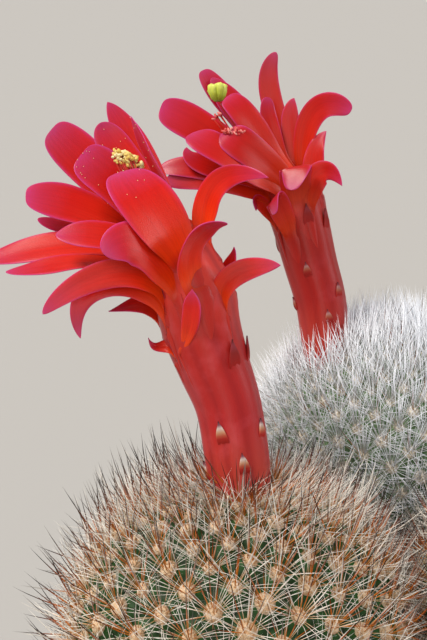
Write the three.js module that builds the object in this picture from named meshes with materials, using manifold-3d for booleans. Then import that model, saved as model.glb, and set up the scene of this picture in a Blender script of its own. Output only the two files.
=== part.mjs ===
// Potted Matucana haynei: three spiny heads in one bowl, two of them with a red flower.
// Millimetres. Z is up, X is to the viewer's right and Y goes away from the viewer.
// The origin is the middle of the pot's foot.
import * as THREE from "three";
import { ConvexHull } from "three/addons/math/ConvexHull.js";
import { mergeVertices } from "three/addons/utils/BufferGeometryUtils.js";
import Module from "manifold-3d";

const wasm = await Module();
wasm.setup();

// Driving sizes
const gap = 0.3; // clearance where two pieces meet
const shortestEdge = 0.02; // shorter edges are closed up after pieces are fused
const goldenTurn = -2.39996; // turn from one areole to the next, clockwise seen from above
const pot = {
  height: 75, rimRadius: 71, rimBand: 15, rimStep: 3, footRadius: 50, wall: 4.5, floor: 6,
  sides: 32, drains: 3, drainRadius: 5, drainRing: 26,
};
const soil = { top: 66, sides: 24, bump: 0.9, rings: [57, 45, 33, 21, 9] };
const stem = {
  plugDepth: 22, plugSides: 14, plugInset: 6, holeMargin: 3, valley: 1.5, spineRoot: 0.45, shortest: 2.2,
};
const heads = {
  front: {
    x: -21, y: -25, equator: 111, radius: 28, crown: 27.5, areoleArea: 76, turn: 0.6,
    spines: [{ lean: 28, length: 12.5, facet: 7, every: 1 }, { lean: 66, length: 9, facet: 1, every: 2 }],
  },
  back: {
    x: 11.5, y: 32, equator: 122, radius: 26.5, crown: 26, areoleArea: 70, turn: 2.1,
    spines: [{ lean: 30, length: 9.5, facet: 8, every: 1 }, { lean: 60, length: 8, facet: 2, every: 2 }],
  },
  right: {
    x: 33, y: -15, equator: 111, radius: 23, crown: 23, areoleArea: 70, turn: 4.0,
    spines: [{ lean: 30, length: 11, facet: 7, every: 1 }, { lean: 62, length: 8.5, facet: 1, every: 2 }],
  },
};

// The flowers are drawn in a frame that leans back a little:
// x to the right, y towards the viewer, z up the flower.
const leanBack = THREE.MathUtils.degToRad(15);
const blade = { thickness: 0.7, steps: 5, tip: 0.7 };

// A tepal: its root, two points that its midline passes, its tip, its width, the way its inner face looks,
// how blunt its tip is (low is blunt), how deep it is cupped, its width at the root and where it is widest.
const frontFlower = {
  base: [-20.5, -18.8, 133.9], sides: 12,
  axis: [
    [0, 0, 1.5], [-1, 0, 7], [-2.5, 0, 16], [-5, 0, 23], [-7, 0, 29], [-8, 0, 34], [-9.5, 0, 38], [-11.5, 0, 42.5],
  ],
  radii: [4.9, 5.5, 5.5, 6.1, 6.7, 6.9, 6.4, 5.5],
  throat: [-10.5, 0, 40], scales: { count: 9, first: 4, rise: 2.5, length: 2.6, root: 0.9 },
  tepals: [
    { line: [[-12, -4, 42], [-20, -7, 50], [-27.5, -9, 58], [-33.5, -9, 64]],
      width: 9, face: [0.35, 0.85, 0.35], blunt: 0.3, cup: 0.25, root: 0.55, widest: 0.75 },
    { line: [[-12.5, -1, 41.5], [-21, -2, 46.5], [-29, -2, 50], [-37, -1, 51.5]],
      width: 8, face: [0.1, 0.75, 0.65], blunt: 0.3, cup: 0.25, root: 0.6, widest: 0.72 },
    { line: [[-12, 0, 44], [-17, 0, 49], [-22, 0, 54], [-27.5, 0, 58.5]],
      width: 8.5, face: [0.35, 0.85, 0.3], blunt: 0.25, cup: 0.25, root: 0.6, widest: 0.78 },
    { line: [[-10, 6, 40], [-13, 8, 45.5], [-16.5, 8, 50.5], [-20, 5, 55.2]],
      width: 10.5, face: [0.45, 0.85, 0.2], blunt: 0.3, cup: 0.15, root: 0.7, widest: 0.65 },
    { line: [[-9, 3, 43], [-12, 2, 51], [-15.5, 1, 58], [-19, 0, 65]],
      width: 6, face: [-0.9, 0.25, -0.3], blunt: 0.7, cup: 0.3, root: 0.6, widest: 0.5 },
    { line: [[-11, -5, 44.5], [-15, -6, 53.5], [-19.5, -7, 62], [-23.5, -7, 68.5]],
      width: 5.5, face: [0.3, 0.9, 0], blunt: 0.8, cup: 0.25, root: 0.6, widest: 0.6 },
    { line: [[-11.5, -3, 44], [-16, -3, 52], [-21, -4, 59], [-24.5, -4, 64.5]],
      width: 6, face: [0.3, 0.9, 0], blunt: 0.5, cup: 0.25, root: 0.6, widest: 0.7 },
    { line: [[-12.5, 3, 38.5], [-18.5, 6, 43], [-25, 7, 44.5], [-31, 7, 44.5]],
      width: 6, face: [0, 0.7, 0.7], blunt: 0.6, cup: 0.25, root: 0.6, widest: 0.55 },
    { line: [[-10.5, 5, 34], [-14, 8, 40], [-18, 11, 43], [-22.5, 13, 41]],
      width: 7.5, face: [0.2, 0.7, 0.7], blunt: 0.42, cup: -0.1, root: 0.65, widest: 0.6 },
    { line: [[-14, 0, 38], [-23.5, 1, 43], [-34.5, 1, 42.5], [-44, 1, 40.5]],
      width: 6, face: [0, 0.6, 0.8], blunt: 0.6, cup: 0.25, root: 0.6, widest: 0.6 },
    { line: [[-14, 2, 36.5], [-23, 4, 40], [-31.5, 5, 39.5], [-39.5, 5, 38.5]],
      width: 4.4, face: [0, 0.5, 0.8], blunt: 0.6, cup: 0.3, root: 0.7, widest: 0.6 },
    { line: [[-12, 3, 31], [-17, 6, 38], [-25.5, 8, 37], [-33, 8, 31.5]],
      width: 5, face: [0.3, 0.75, 0.6], blunt: 0.6, cup: 0.2, root: 0.8, widest: 0.4 },
    { line: [[-12, 3, 28], [-17, 5, 36], [-25, 6, 35.5], [-27, 6, 27.5]],
      width: 4.8, face: [0.3, 0.8, 0.5], blunt: 0.7, cup: 0.2, root: 0.8, widest: 0.4 },
    { line: [[-12, -1, 28], [-15.5, -2, 32.5], [-19, -3, 33], [-23, -3, 32]],
      width: 4, face: [0.2, 0.8, 0.5], blunt: 1, cup: 0.3, root: 0.8, widest: 0.35 },
    { line: [[-5.5, 1, 40.5], [-6, 1, 50], [-2.5, 3, 54.5], [4, 7, 54]],
      width: 4.8, face: [-0.5, 0.8, 0.3], blunt: 0.8, cup: 0.3, root: 0.7, widest: 0.35 },
    { line: [[-8, 5.6, 34.5], [-9.2, 8, 40.5], [-6.9, 9.8, 44.8], [-2.7, 10.5, 46.1]],
      width: 6, face: [0.15, 0.7, 0.6], blunt: 0.6, cup: 0.2, root: 0.8, widest: 0.5 },
    { line: [[-3, 4, 31], [-3, 6, 36.5], [1, 7, 39], [6, 8, 39.5]],
      width: 4, face: [-0.5, 0.7, 0.4], blunt: 0.8, cup: 0.2, root: 0.8, widest: 0.5 },
    { line: [[-3, -1, 34.5], [-3, -2, 37.5], [-2, -2, 40.5], [-1.5, -2, 43]],
      width: 3.4, face: [-0.5, 0.8, 0], blunt: 1, cup: 0.2, root: 0.8, widest: 0.3 },
    { line: [[-13, -5, 41.5], [-22, -7, 45.5], [-29, -6, 46.5], [-35.3, -4, 47.9]],
      width: 4, face: [0, 0.7, 0.7], blunt: 0.5, cup: 0.2, root: 0.6, widest: 0.6 },
    { line: [[-10.5, 4, 25], [-9, 6.5, 29], [-8.5, 8, 32.5], [-8.5, 9, 35.5]],
      width: 3.4, face: [-0.2, 0.9, 0], blunt: 1, cup: 0.15, root: 0.2, widest: 0.6 },
    { line: [[-10, 2, 23.5], [-12.5, 2, 26], [-14.5, 1, 26], [-16, 1, 27.5]],
      width: 2.4, face: [0, 0.8, 0.6], blunt: 1, cup: 0.2, root: 0.9, widest: 0.3 },
  ],
};
const backFlower = {
  base: [-3.1, 32.9, 149.6], sides: 12,
  axis: [[1, 0, -7.5], [0, 0, -2], [-1, 0, 6], [-3, 0, 13.5], [-5, 0, 21.5], [-6.5, 0, 26.5], [-8, 0, 30]],
  radii: [4.6, 4.8, 5.1, 5.3, 5.7, 6, 5.2],
  throat: [-7.5, 0, 28.5], scales: { count: 8, first: 0, rise: 2.6, length: 2.2, root: 0.8 },
  tepals: [
    { line: [[-8.5, -3, 29], [-14, -4, 38.5], [-20, -4, 46.5], [-24.5, -4, 52.8]],
      width: 5.5, face: [0.4, 0.9, 0.1], blunt: 0.35, cup: 0.2, root: 0.5, widest: 0.7 },
    { line: [[-7.5, -1, 28.5], [-13, -2, 38], [-18.5, -3, 45.5], [-22.8, -3, 51]],
      width: 6.5, face: [0.4, 0.9, 0.1], blunt: 0.6, cup: 0.15, root: 0.6, widest: 0.5 },
    { line: [[-9.5, 2, 27.5], [-17, 3, 34], [-25, 3, 40], [-33, 3, 44]],
      width: 8, face: [0.1, 0.9, 0.4], blunt: 0.3, cup: 0.15, root: 0.6, widest: 0.75 },
    { line: [[-7, 3, 28], [-12, 5, 36], [-16.5, 6, 42.5], [-19.9, 5, 45.8]],
      width: 6, face: [0.4, 0.9, 0.2], blunt: 0.35, cup: 0.1, root: 0.7, widest: 0.65 },
    { line: [[-6.5, -4, 29.5], [-8.5, -5, 40], [-11, -5, 49], [-9.6, -4, 56.4]],
      width: 4.4, face: [-0.1, 0.9, 0.1], blunt: 0.5, cup: 0.2, root: 0.7, widest: 0.6 },
    { line: [[-7, -1, 28.5], [-9.5, -1, 36], [-11.2, -1, 42], [-11.5, -1, 46.8]],
      width: 3.6, face: [0.2, 0.9, 0.1], blunt: 0.35, cup: 0.2, root: 0.8, widest: 0.6 },
    { line: [[-5.2, -2, 28], [-6.2, -2, 35], [-6.9, -2, 42], [-6.1, -2, 46.8]],
      width: 3.8, face: [-0.2, 0.9, 0.1], blunt: 0.8, cup: 0.2, root: 0.8, widest: 0.6 },
    { line: [[-3.5, 0, 26], [-4.2, 1, 37.5], [-1.3, 3, 44], [4.6, 6, 43]],
      width: 5.2, face: [-0.5, 0.8, 0.3], blunt: 0.32, cup: 0.3, root: 0.5, widest: 0.65 },
    { line: [[-2.5, 2, 26], [-2.5, 3, 31.5], [-2, 3, 36], [0, 3, 39.5]],
      width: 4.4, face: [-0.4, 0.9, 0.1], blunt: 0.8, cup: 0.2, root: 0.7, widest: 0.4 },
    { line: [[-3.5, 5, 23], [-3, 7, 28.5], [-0.5, 8, 31], [2.5, 10, 28]],
      width: 5, face: [-0.3, 0.8, 0.5], blunt: 0.8, cup: 0.2, root: 0.8, widest: 0.4 },
    { line: [[-5.5, 5, 23], [-6.5, 8, 29.5], [-6.5, 10, 31.5], [-7.5, 12, 27]],
      width: 6.5, face: [0, 0.9, 0.2], blunt: 0.35, cup: 0.1, root: 0.7, widest: 0.5 },
    { line: [[-7, 4, 17.5], [-9, 7, 23], [-10.5, 9, 25.5], [-10.5, 11, 22.5]],
      width: 4.6, face: [0, 0.9, 0.3], blunt: 0.3, cup: 0.1, root: 0.8, widest: 0.5 },
    { line: [[-8.5, 2, 19], [-12, 4, 24], [-14, 5, 25.5], [-14, 6, 23.5]],
      width: 2.8, face: [-0.2, 0.8, 0.5], blunt: 0.5, cup: 0.1, root: 0.8, widest: 0.4 },
    { line: [[-9, 1, 26.5], [-16.5, 4, 30], [-25.6, 5, 32], [-33.2, 4, 31.7]],
      width: 5, face: [0.1, 0.9, 0.4], blunt: 0.5, cup: 0.2, root: 0.7, widest: 0.6 },
    { line: [[-9, 2, 24.5], [-16, 5, 28.5], [-24.1, 5.5, 30], [-32, 5, 29]],
      width: 5.5, face: [0.1, 0.9, 0.3], blunt: 0.5, cup: 0.2, root: 0.7, widest: 0.6 },
    { line: [[-9, 2, 26.5], [-16, 4.5, 30.5], [-24, 6, 32.5], [-27.7, 5, 36]],
      width: 5, face: [0.1, 0.8, 0.6], blunt: 0.7, cup: 0.2, root: 0.7, widest: 0.5 },
    { line: [[-7.5, 4, 27.5], [-12, 7.5, 32.5], [-16.8, 10, 36], [-20.3, 9, 38.5]],
      width: 7, face: [0.3, 0.9, 0.3], blunt: 0.3, cup: 0.1, root: 0.7, widest: 0.65 },
    { line: [[-8, 4.5, 27], [-14, 8.5, 31], [-21.1, 11, 35], [-26.7, 9, 38.2]],
      width: 7.5, face: [0.2, 0.8, 0.5], blunt: 0.35, cup: 0, root: 0.7, widest: 0.65 },
  ],
};
const anthers = {
  middle: [-19.5, 2.5, 57.5], half: [3, 1.3, 1.3], tilt: -20, grains: 8, grain: 0.8, stalks: 5, stalk: 0.45,
};
const stigma = { middle: [-21.5, 1, 47.5], lobes: 5, lobe: 1.15, height: 2, spread: 0.9, stalk: 0.7 };

const colours = {
  terracotta: "#a8603f", soil: "#6d5a48", greenStem: "#4a6b45", paleStem: "#8f9a7a",
  red: "#d3221b", yellow: "#e3b84a", lime: "#b9bf3c",
};

const V = (x, y, z) => new THREE.Vector3(x, y, z);

// Seeded draws, so that every build is the same.
function draws(seed) {
  let state = seed >>> 0;
  return () => {
    state = (Math.imul(state, 1664525) + 1013904223) >>> 0;
    return state / 4294967296;
  };
}

// A closed solid from points and triangles, turned the right way out.
function solid(points, triangles) {
  const build = (list) => new wasm.Manifold(new wasm.Mesh({
    numProp: 3,
    vertProperties: new Float32Array(points.flatMap((p) => [p.x, p.y, p.z])),
    triVerts: new Uint32Array(list.flat()),
  }));
  const made = build(triangles);
  return made.volume() < 0 ? build(triangles.map(([a, b, c]) => [a, c, b])) : made;
}

function solidOf(geometry) {
  const bare = geometry.clone();
  bare.deleteAttribute("normal");
  bare.deleteAttribute("uv");
  const merged = mergeVertices(bare, 1e-4);
  const at = merged.attributes.position;
  const points = Array.from({ length: at.count }, (_, i) => V(at.getX(i), at.getY(i), at.getZ(i)));
  const index = Array.from(merged.index.array);
  const triangles = [];
  for (let i = 0; i < index.length; i += 3) {
    const [a, b, c] = index.slice(i, i + 3);
    if (a !== b && b !== c && c !== a) triangles.push([a, b, c]);
  }
  return solid(points, triangles);
}

function meshOf(made, name, colour, roughness) {
  const got = made.getMesh();
  const geometry = new THREE.BufferGeometry();
  geometry.setAttribute("position", new THREE.BufferAttribute(new Float32Array(got.vertProperties), 3));
  geometry.setIndex(new THREE.BufferAttribute(new Uint32Array(got.triVerts), 1));
  geometry.computeVertexNormals();
  const mesh = new THREE.Mesh(geometry, new THREE.MeshStandardMaterial({ color: colour, roughness }));
  mesh.name = name;
  return mesh;
}

// Keeps the one outer body: sealed hollows are filled, loose scraps and sliver edges dropped.
function oneBody(made) {
  return made.decompose().sort((a, b) => b.volume() - a.volume())[0].simplify(shortestEdge);
}

// A closed solid through rings of equally many points. On a blade the second half of each ring is its
// under face, and its quads are split along the same diagonal as those above them.
function loft(rings, isBlade = false) {
  const n = rings[0].length;
  const triangles = [];
  for (let i = 0; i + 1 < rings.length; i++)
    for (let j = 0; j < n; j++) {
      const [a, b] = [i * n + j, i * n + ((j + 1) % n)];
      const [c, d] = [b + n, a + n];
      if (isBlade && j >= n / 2) triangles.push([a, b, d], [b, c, d]);
      else triangles.push([a, b, c], [a, c, d]);
    }
  const last = (rings.length - 1) * n;
  for (let j = 1; j + 1 < n; j++) triangles.push([0, j + 1, j], [last, last + j, last + j + 1]);
  return solid(rings.flat(), triangles);
}

function frameAcross(direction) {
  const side = V(1, 0, 0).addScaledVector(direction, -direction.x);
  if (side.length() < 0.2) side.set(0, 1, 0).addScaledVector(direction, -direction.y);
  side.normalize();
  return [side, direction.clone().cross(side)];
}

function ring(middle, direction, radius, sides, turn = 0) {
  const [side, other] = frameAcross(direction);
  return Array.from({ length: sides }, (_, j) => {
    const angle = turn + (2 * Math.PI * j) / sides;
    return middle.clone()
      .addScaledVector(side, radius * Math.cos(angle)).addScaledVector(other, radius * Math.sin(angle));
  });
}

// A pointed needle with three sides.
function needle(from, to, radius) {
  const direction = to.clone().sub(from).normalize();
  return solid([...ring(from, direction, radius, 3), to], [[0, 2, 1], [0, 1, 3], [1, 2, 3], [2, 0, 3]]);
}

function rod(from, to, radius, sides) {
  const direction = to.clone().sub(from).normalize();
  return loft([ring(from, direction, radius, sides), ring(to, direction, radius, sides)]);
}

function latheUp(profile, sides) {
  const points = profile.map(([r, z]) => new THREE.Vector2(r, z));
  return new THREE.LatheGeometry(points, sides).rotateX(Math.PI / 2);
}

function upright(radius, from, to, sides, x = 0, y = 0) {
  const geometry = new THREE.CylinderGeometry(radius, radius, to - from, sides);
  return solidOf(geometry.rotateX(Math.PI / 2).translate(x, y, (from + to) / 2));
}

const bandFoot = pot.height - pot.rimBand;

// The pot's outer radius below the rim band, and its inner radius, at a height.
function potRadius(z) {
  return pot.footRadius + ((pot.rimRadius - pot.rimStep - pot.footRadius) * z) / bandFoot;
}
const potInside = (z) => potRadius(Math.min(z, bandFoot)) - pot.wall;

function makePot() {
  const profile = [
    [0, 0], [pot.footRadius - 1.5, 0], [pot.footRadius, 1.5], [potRadius(bandFoot), bandFoot],
    [pot.rimRadius - 0.6, bandFoot], [pot.rimRadius, bandFoot + 1.5], [pot.rimRadius, pot.height - 1.5],
    [pot.rimRadius - 1.5, pot.height], [pot.rimRadius - pot.wall, pot.height],
    [potInside(bandFoot), bandFoot], [potInside(pot.floor), pot.floor], [0, pot.floor],
  ];
  let made = solidOf(latheUp(profile, pot.sides));
  for (let i = 0; i < pot.drains; i++) {
    const angle = (2 * Math.PI * (i + 0.5)) / pot.drains;
    const [x, y] = [pot.drainRing * Math.cos(angle), pot.drainRing * Math.sin(angle)];
    made = made.subtract(upright(pot.drainRadius, -1, pot.floor + 1, 12, x, y));
  }
  return made;
}

// Gritty soil that fills the pot, with a plain hole for each stem's foot.
function makeSoil() {
  const draw = draws(11);
  const fill = (z) => potInside(z) * Math.cos(Math.PI / pot.sides) - gap;
  const profile = [
    [0, pot.floor + gap], [fill(pot.floor), pot.floor + gap], [fill(bandFoot), bandFoot],
    [fill(soil.top), soil.top], ...soil.rings.map((r) => [r, soil.top]), [0, soil.top],
  ];
  const bare = latheUp(profile, soil.sides);
  bare.deleteAttribute("normal");
  bare.deleteAttribute("uv");
  const merged = mergeVertices(bare, 1e-3);
  const at = merged.attributes.position;
  for (let i = 0; i < at.count; i++) {
    const isInside = Math.hypot(at.getX(i), at.getY(i)) < fill(soil.top) - 1;
    if (at.getZ(i) > soil.top - 0.5 && isInside) at.setZ(i, soil.top + (draw() - 0.5) * 2 * soil.bump);
  }
  let made = solidOf(merged);
  for (const head of Object.values(heads)) {
    const radius = head.radius - stem.plugInset + stem.holeMargin;
    const depth = soil.top - stem.plugDepth - gap;
    made = made.subtract(upright(radius, depth, soil.top + 5, 20, head.x, head.y));
  }
  return made;
}

// The radius of a head at a height: a domed crown, and sides that narrow a little towards the soil.
function headRadius(head, z) {
  const up = z - head.equator;
  if (up > 0) return head.radius * Math.sqrt(Math.max(1 - (up / head.crown) ** 2, 0));
  return head.radius * (1 - 0.16 * (up / (head.equator - soil.top)) ** 2);
}

// Areoles follow one spiral down the head, each with the same share of its surface.
function areoles(head) {
  const found = [];
  const lowest = soil.top + 5;
  const step = 0.05;
  let area = head.areoleArea * 0.4;
  for (let z = head.equator + head.crown - step; z > lowest; z -= step) {
    const [r, below] = [headRadius(head, z), headRadius(head, z - step)];
    area += 2 * Math.PI * r * Math.hypot(step, below - r);
    if (area < head.areoleArea) continue;
    area -= head.areoleArea;
    const angle = head.turn + goldenTurn * found.length;
    found.push(V(head.x + r * Math.cos(angle), head.y + r * Math.sin(angle), z));
  }
  return found;
}

// Spines stay above the soil, and on their own head's side of the upright plane between two heads.
function shareOnOwnSide(head, from, to) {
  const lowest = soil.top + soil.bump + gap;
  let share = to.z < lowest ? (from.z - lowest) / (from.z - to.z) : 1;
  for (const other of Object.values(heads)) {
    if (other === head) continue;
    const way = V(other.x - head.x, other.y - head.y, 0);
    const apart = way.length();
    way.divideScalar(apart);
    const limit = (apart ** 2 + head.radius ** 2 - other.radius ** 2) / (2 * apart) - gap;
    const reach = (p) => (p.x - head.x) * way.x + (p.y - head.y) * way.y;
    if (reach(to) > limit) share = Math.min(share, (limit - reach(from)) / (reach(to) - reach(from)));
  }
  return share;
}

// A head: tubercles that peak at the areoles, and needles that leave from beside the peaks.
function makeHead(head, flower) {
  const peaks = areoles(head);
  const footMiddle = V(head.x, head.y, soil.top - stem.plugDepth);
  const foot = ring(footMiddle, V(0, 0, 1), head.radius - stem.plugInset, stem.plugSides);
  const points = [...peaks, ...foot];
  const places = new Map(points.map((p, i) => [p, i]));
  const triangles = [];
  const facets = peaks.map(() => []);
  for (const face of new ConvexHull().setFromPoints(points).faces) {
    const corners = [];
    let edge = face.edge;
    do {
      corners.push(places.get(edge.head().point));
      edge = edge.next;
    } while (edge !== face.edge);
    if (corners.some((c) => c >= peaks.length)) {
      triangles.push(corners);
      continue;
    }
    const valley = points.length;
    const middle = V(0, 0, 0);
    for (const c of corners) middle.addScaledVector(points[c], 1 / 3);
    points.push(middle.addScaledVector(face.normal, -stem.valley));
    corners.forEach((c, i) => {
      const next = corners[(i + 1) % 3];
      triangles.push([c, next, valley]);
      facets[c].push([points[c], points[next], points[valley]]);
      facets[next].push([points[next], points[c], points[valley]]);
    });
  }
  const parts = [solid(points, triangles)];
  peaks.forEach((peak, i) => {
    const normal = V(peak.x - head.x, peak.y - head.y, 0).divideScalar(head.radius);
    normal.z = Math.max(peak.z - head.equator, 0) / head.crown;
    normal.normalize();
    const [side, other] = frameAcross(normal);
    const around = (f) => {
      const way = f[1].clone().lerp(f[2], 0.5).sub(peak);
      return Math.atan2(way.dot(other), way.dot(side));
    };
    const sorted = facets[i].sort((a, b) => around(a) - around(b));
    if (!sorted.length) return;
    for (const spine of head.spines) {
      if (i % spine.every) continue;
      const [a, b, c] = sorted[(spine.facet + 3 * i) % sorted.length];
      const root = a.clone().multiplyScalar(0.7).addScaledVector(b, 0.1).addScaledVector(c, 0.2);
      const away = root.clone().sub(peak).normalize();
      const lean = THREE.MathUtils.degToRad(spine.lean * (1 - 0.4 * normal.z));
      const direction = normal.clone().multiplyScalar(Math.cos(lean)).addScaledVector(away, Math.sin(lean));
      direction.z += 0.25 * normal.z;
      direction.normalize();
      const tip = root.clone().addScaledVector(direction, spine.length);
      const length = spine.length * shareOnOwnSide(head, root, tip);
      if (length < stem.shortest) continue;
      const from = root.clone().addScaledVector(direction, -1);
      parts.push(needle(from, root.clone().addScaledVector(direction, length), stem.spineRoot));
    }
  });
  const whole = wasm.Manifold.union(parts);
  return oneBody(flower ? whole.subtract(flowerTube(flower, gap)) : whole);
}

// From a flower's own leaning frame to the part's frame.
function place(flower, p) {
  const [x, toward, up] = p;
  const [base, s, c] = [flower.base, Math.sin(leanBack), Math.cos(leanBack)];
  return V(base[0] + x, base[1] - toward * c + up * s, base[2] + toward * s + up * c);
}

// The flower's tube. A margin makes it wider and a little longer, as the tool that cuts its seat.
function flowerTube(flower, margin) {
  const middles = flower.axis.map((p) => place(flower, p));
  const rings = middles.map((middle, i) => {
    const [before, after] = [middles[Math.max(i - 1, 0)], middles[Math.min(i + 1, middles.length - 1)]];
    const direction = after.clone().sub(before).normalize();
    if (i === 0) middle = middle.clone().addScaledVector(direction, -margin);
    return ring(middle, direction, flower.radii[i] + margin, flower.sides);
  });
  return loft(rings);
}

// A curve that passes its four points at 0, 1/3, 2/3 and 1.
function through(points, t) {
  const [a, b, c, d] = points;
  const [u, v, w, s] = [
    ((1 - 3 * t) * (2 - 3 * t) * (1 - t)) / 2, (9 * t * (2 - 3 * t) * (1 - t)) / 2,
    (9 * t * (3 * t - 1) * (1 - t)) / 2, (t * (3 * t - 1) * (3 * t - 2)) / 2,
  ];
  return V(0, 0, 0).addScaledVector(a, u).addScaledVector(b, v).addScaledVector(c, w).addScaledVector(d, s);
}

function tepalWidth(tepal, t) {
  const past = Math.max((t - tepal.widest) / (1 - tepal.widest), 0);
  const rise = tepal.root + (1 - tepal.root) * Math.sin((Math.min(t / tepal.widest, 1) * Math.PI) / 2);
  return Math.max(tepal.width * rise * (1 - past ** 2) ** tepal.blunt, blade.tip);
}

// A tepal is a thin cupped blade along its midline.
function makeTepal(flower, tepal) {
  const origin = place(flower, [0, 0, 0]);
  const line = tepal.line.map((p) => place(flower, p));
  const inner = place(flower, tepal.face).sub(origin).normalize();
  const rings = [];
  for (let i = 0; i <= blade.steps; i++) {
    const t = i / blade.steps;
    const middle = through(line, t);
    const along = through(line, t + 0.01).sub(through(line, t - 0.01)).normalize();
    inner.addScaledVector(along, -inner.dot(along)).normalize();
    const across = along.clone().cross(inner);
    const half = tepalWidth(tepal, t) / 2;
    const cup = tepal.cup * (1 - t);
    const point = (u, lift) => middle.clone().addScaledVector(across, u * half)
      .addScaledVector(inner, u * u * half * cup + lift * (blade.thickness / 2));
    rings.push([point(-1, 1), point(0, 1), point(1, 1), point(1, -1), point(0, -1), point(-1, -1)]);
  }
  return loft(rings, true);
}

// Small pointed scales climb the tube in a spiral.
function makeScales(flower) {
  const { count, first, rise, length, root } = flower.scales;
  const middles = flower.axis.map((p) => V(...p));
  return Array.from({ length: count }, (_, k) => {
    const up = first + rise * k;
    const i = middles.findIndex((p, n) => n > 0 && p.z >= up);
    const share = (up - middles[i - 1].z) / (middles[i].z - middles[i - 1].z);
    const middle = middles[i - 1].clone().lerp(middles[i], share);
    const radius = flower.radii[i - 1] + (flower.radii[i] - flower.radii[i - 1]) * share;
    const angle = 1 - goldenTurn * k;
    const out = V(Math.cos(angle), Math.sin(angle), 0);
    const from = middle.clone().addScaledVector(out, radius - 0.9);
    const to = middle.clone().addScaledVector(out, radius + 1.1).add(V(-0.2 * length, 0, length));
    return needle(place(flower, from.toArray()), place(flower, to.toArray()), root);
  });
}

function makeFlower(flower, stalks) {
  const tepals = flower.tepals.map((tepal) => makeTepal(flower, tepal));
  return oneBody(wasm.Manifold.union([flowerTube(flower, 0), ...tepals, ...makeScales(flower), ...stalks]));
}

// The filaments of the front flower end just under its bunch of anthers.
function makeFilaments() {
  const { middle, half, stalks, stalk } = anthers;
  return Array.from({ length: stalks }, (_, i) => {
    const across = (i / (stalks - 1) - 0.5) * 2;
    const from = [frontFlower.throat[0] + 0.8 * across, 1 - 0.4 * (i % 2), frontFlower.throat[2] - 4];
    const below = half[2] + anthers.grain + gap + 0.3;
    const to = [middle[0] + half[0] * 0.75 * across + 0.3, middle[1], middle[2] - below - 0.75 * across];
    return rod(place(frontFlower, from), place(frontFlower, to), stalk, 3);
  });
}

function makeAnthers() {
  const { middle, half, tilt, grains, grain } = anthers;
  const turn = new THREE.Matrix4().makeRotationY(THREE.MathUtils.degToRad(-tilt));
  const at = (p) => place(frontFlower, p.applyMatrix4(turn).add(V(...middle)).toArray());
  const parts = [];
  const lump = (centre, sizes) => {
    const geometry = new THREE.IcosahedronGeometry(1, 0).scale(...sizes);
    const positions = geometry.attributes.position;
    for (let i = 0; i < positions.count; i++) {
      const p = at(V(positions.getX(i), positions.getY(i), positions.getZ(i)).add(centre));
      positions.setXYZ(i, p.x, p.y, p.z);
    }
    parts.push(solidOf(geometry));
  };
  lump(V(0, 0, 0), half);
  for (let i = 0; i < grains; i++) {
    const along = ((i + 0.5) / grains) * 1.7 - 0.85;
    const angle = 2.4 * i;
    const round = Math.sqrt(1 - along ** 2);
    const centre = V(along * half[0], round * half[1] * Math.cos(angle), round * half[2] * Math.sin(angle));
    lump(centre, [grain, grain, grain]);
  }
  return wasm.Manifold.union(parts);
}

// The back flower's style carries a lobed stigma.
function makeStyle() {
  const { middle, height, stalk } = stigma;
  const top = [middle[0] + 1.1, middle[1], middle[2] - height - gap - 0.2];
  const from = [backFlower.throat[0], 1, backFlower.throat[2] - 4];
  return rod(place(backFlower, from), place(backFlower, top), stalk, 5);
}

function makeStigma() {
  const { middle, lobes, lobe, height, spread } = stigma;
  const parts = Array.from({ length: lobes }, (_, i) => {
    const angle = (2 * Math.PI * i) / lobes;
    const geometry = new THREE.IcosahedronGeometry(1, 0).scale(lobe, lobe, height);
    const [x, toward] = [middle[0] + spread * Math.cos(angle), middle[1] + spread * Math.sin(angle)];
    const centre = place(backFlower, [x, toward, middle[2]]);
    return solidOf(geometry.rotateX(-leanBack).translate(centre.x, centre.y, centre.z));
  });
  return wasm.Manifold.union(parts);
}

const plant = new THREE.Group();
plant.name = "potted_matucana_haynei";
plant.add(
  meshOf(makePot(), "pot", colours.terracotta, 0.85),
  meshOf(makeSoil(), "soil", colours.soil, 0.95),
  meshOf(makeHead(heads.front, frontFlower), "front_stem", colours.greenStem, 0.7),
  meshOf(makeHead(heads.back, backFlower), "back_stem", colours.paleStem, 0.7),
  meshOf(makeHead(heads.right), "right_stem", colours.greenStem, 0.7),
  meshOf(makeFlower(frontFlower, makeFilaments()), "front_flower", colours.red, 0.4),
  meshOf(makeFlower(backFlower, [makeStyle()]), "back_flower", colours.red, 0.4),
  meshOf(makeAnthers(), "front_anthers", colours.yellow, 0.8),
  meshOf(makeStigma(), "back_stigma", colours.lime, 0.7),
);

export default plant;
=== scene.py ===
import math

import bmesh
import bpy
import numpy as np
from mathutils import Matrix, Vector


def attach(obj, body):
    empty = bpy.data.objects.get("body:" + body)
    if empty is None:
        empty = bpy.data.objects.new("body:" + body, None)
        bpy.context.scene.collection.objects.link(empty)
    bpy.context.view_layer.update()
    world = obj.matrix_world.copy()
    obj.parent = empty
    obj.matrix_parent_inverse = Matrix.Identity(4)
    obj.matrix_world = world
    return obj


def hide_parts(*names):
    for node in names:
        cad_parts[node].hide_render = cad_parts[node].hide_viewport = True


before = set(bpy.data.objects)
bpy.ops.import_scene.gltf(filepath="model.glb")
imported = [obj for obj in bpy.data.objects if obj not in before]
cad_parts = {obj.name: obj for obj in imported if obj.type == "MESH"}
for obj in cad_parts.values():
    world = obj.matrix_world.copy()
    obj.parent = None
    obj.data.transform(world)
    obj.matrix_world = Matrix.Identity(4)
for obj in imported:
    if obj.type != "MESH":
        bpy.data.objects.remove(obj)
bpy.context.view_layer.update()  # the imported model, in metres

mm = 0.001
goldenTurn = -2.39996  # turn from one areole to the next, clockwise seen from above
soilTop = 66.0  # the soil's height in the pot, mm


# nodes and meshes

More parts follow.
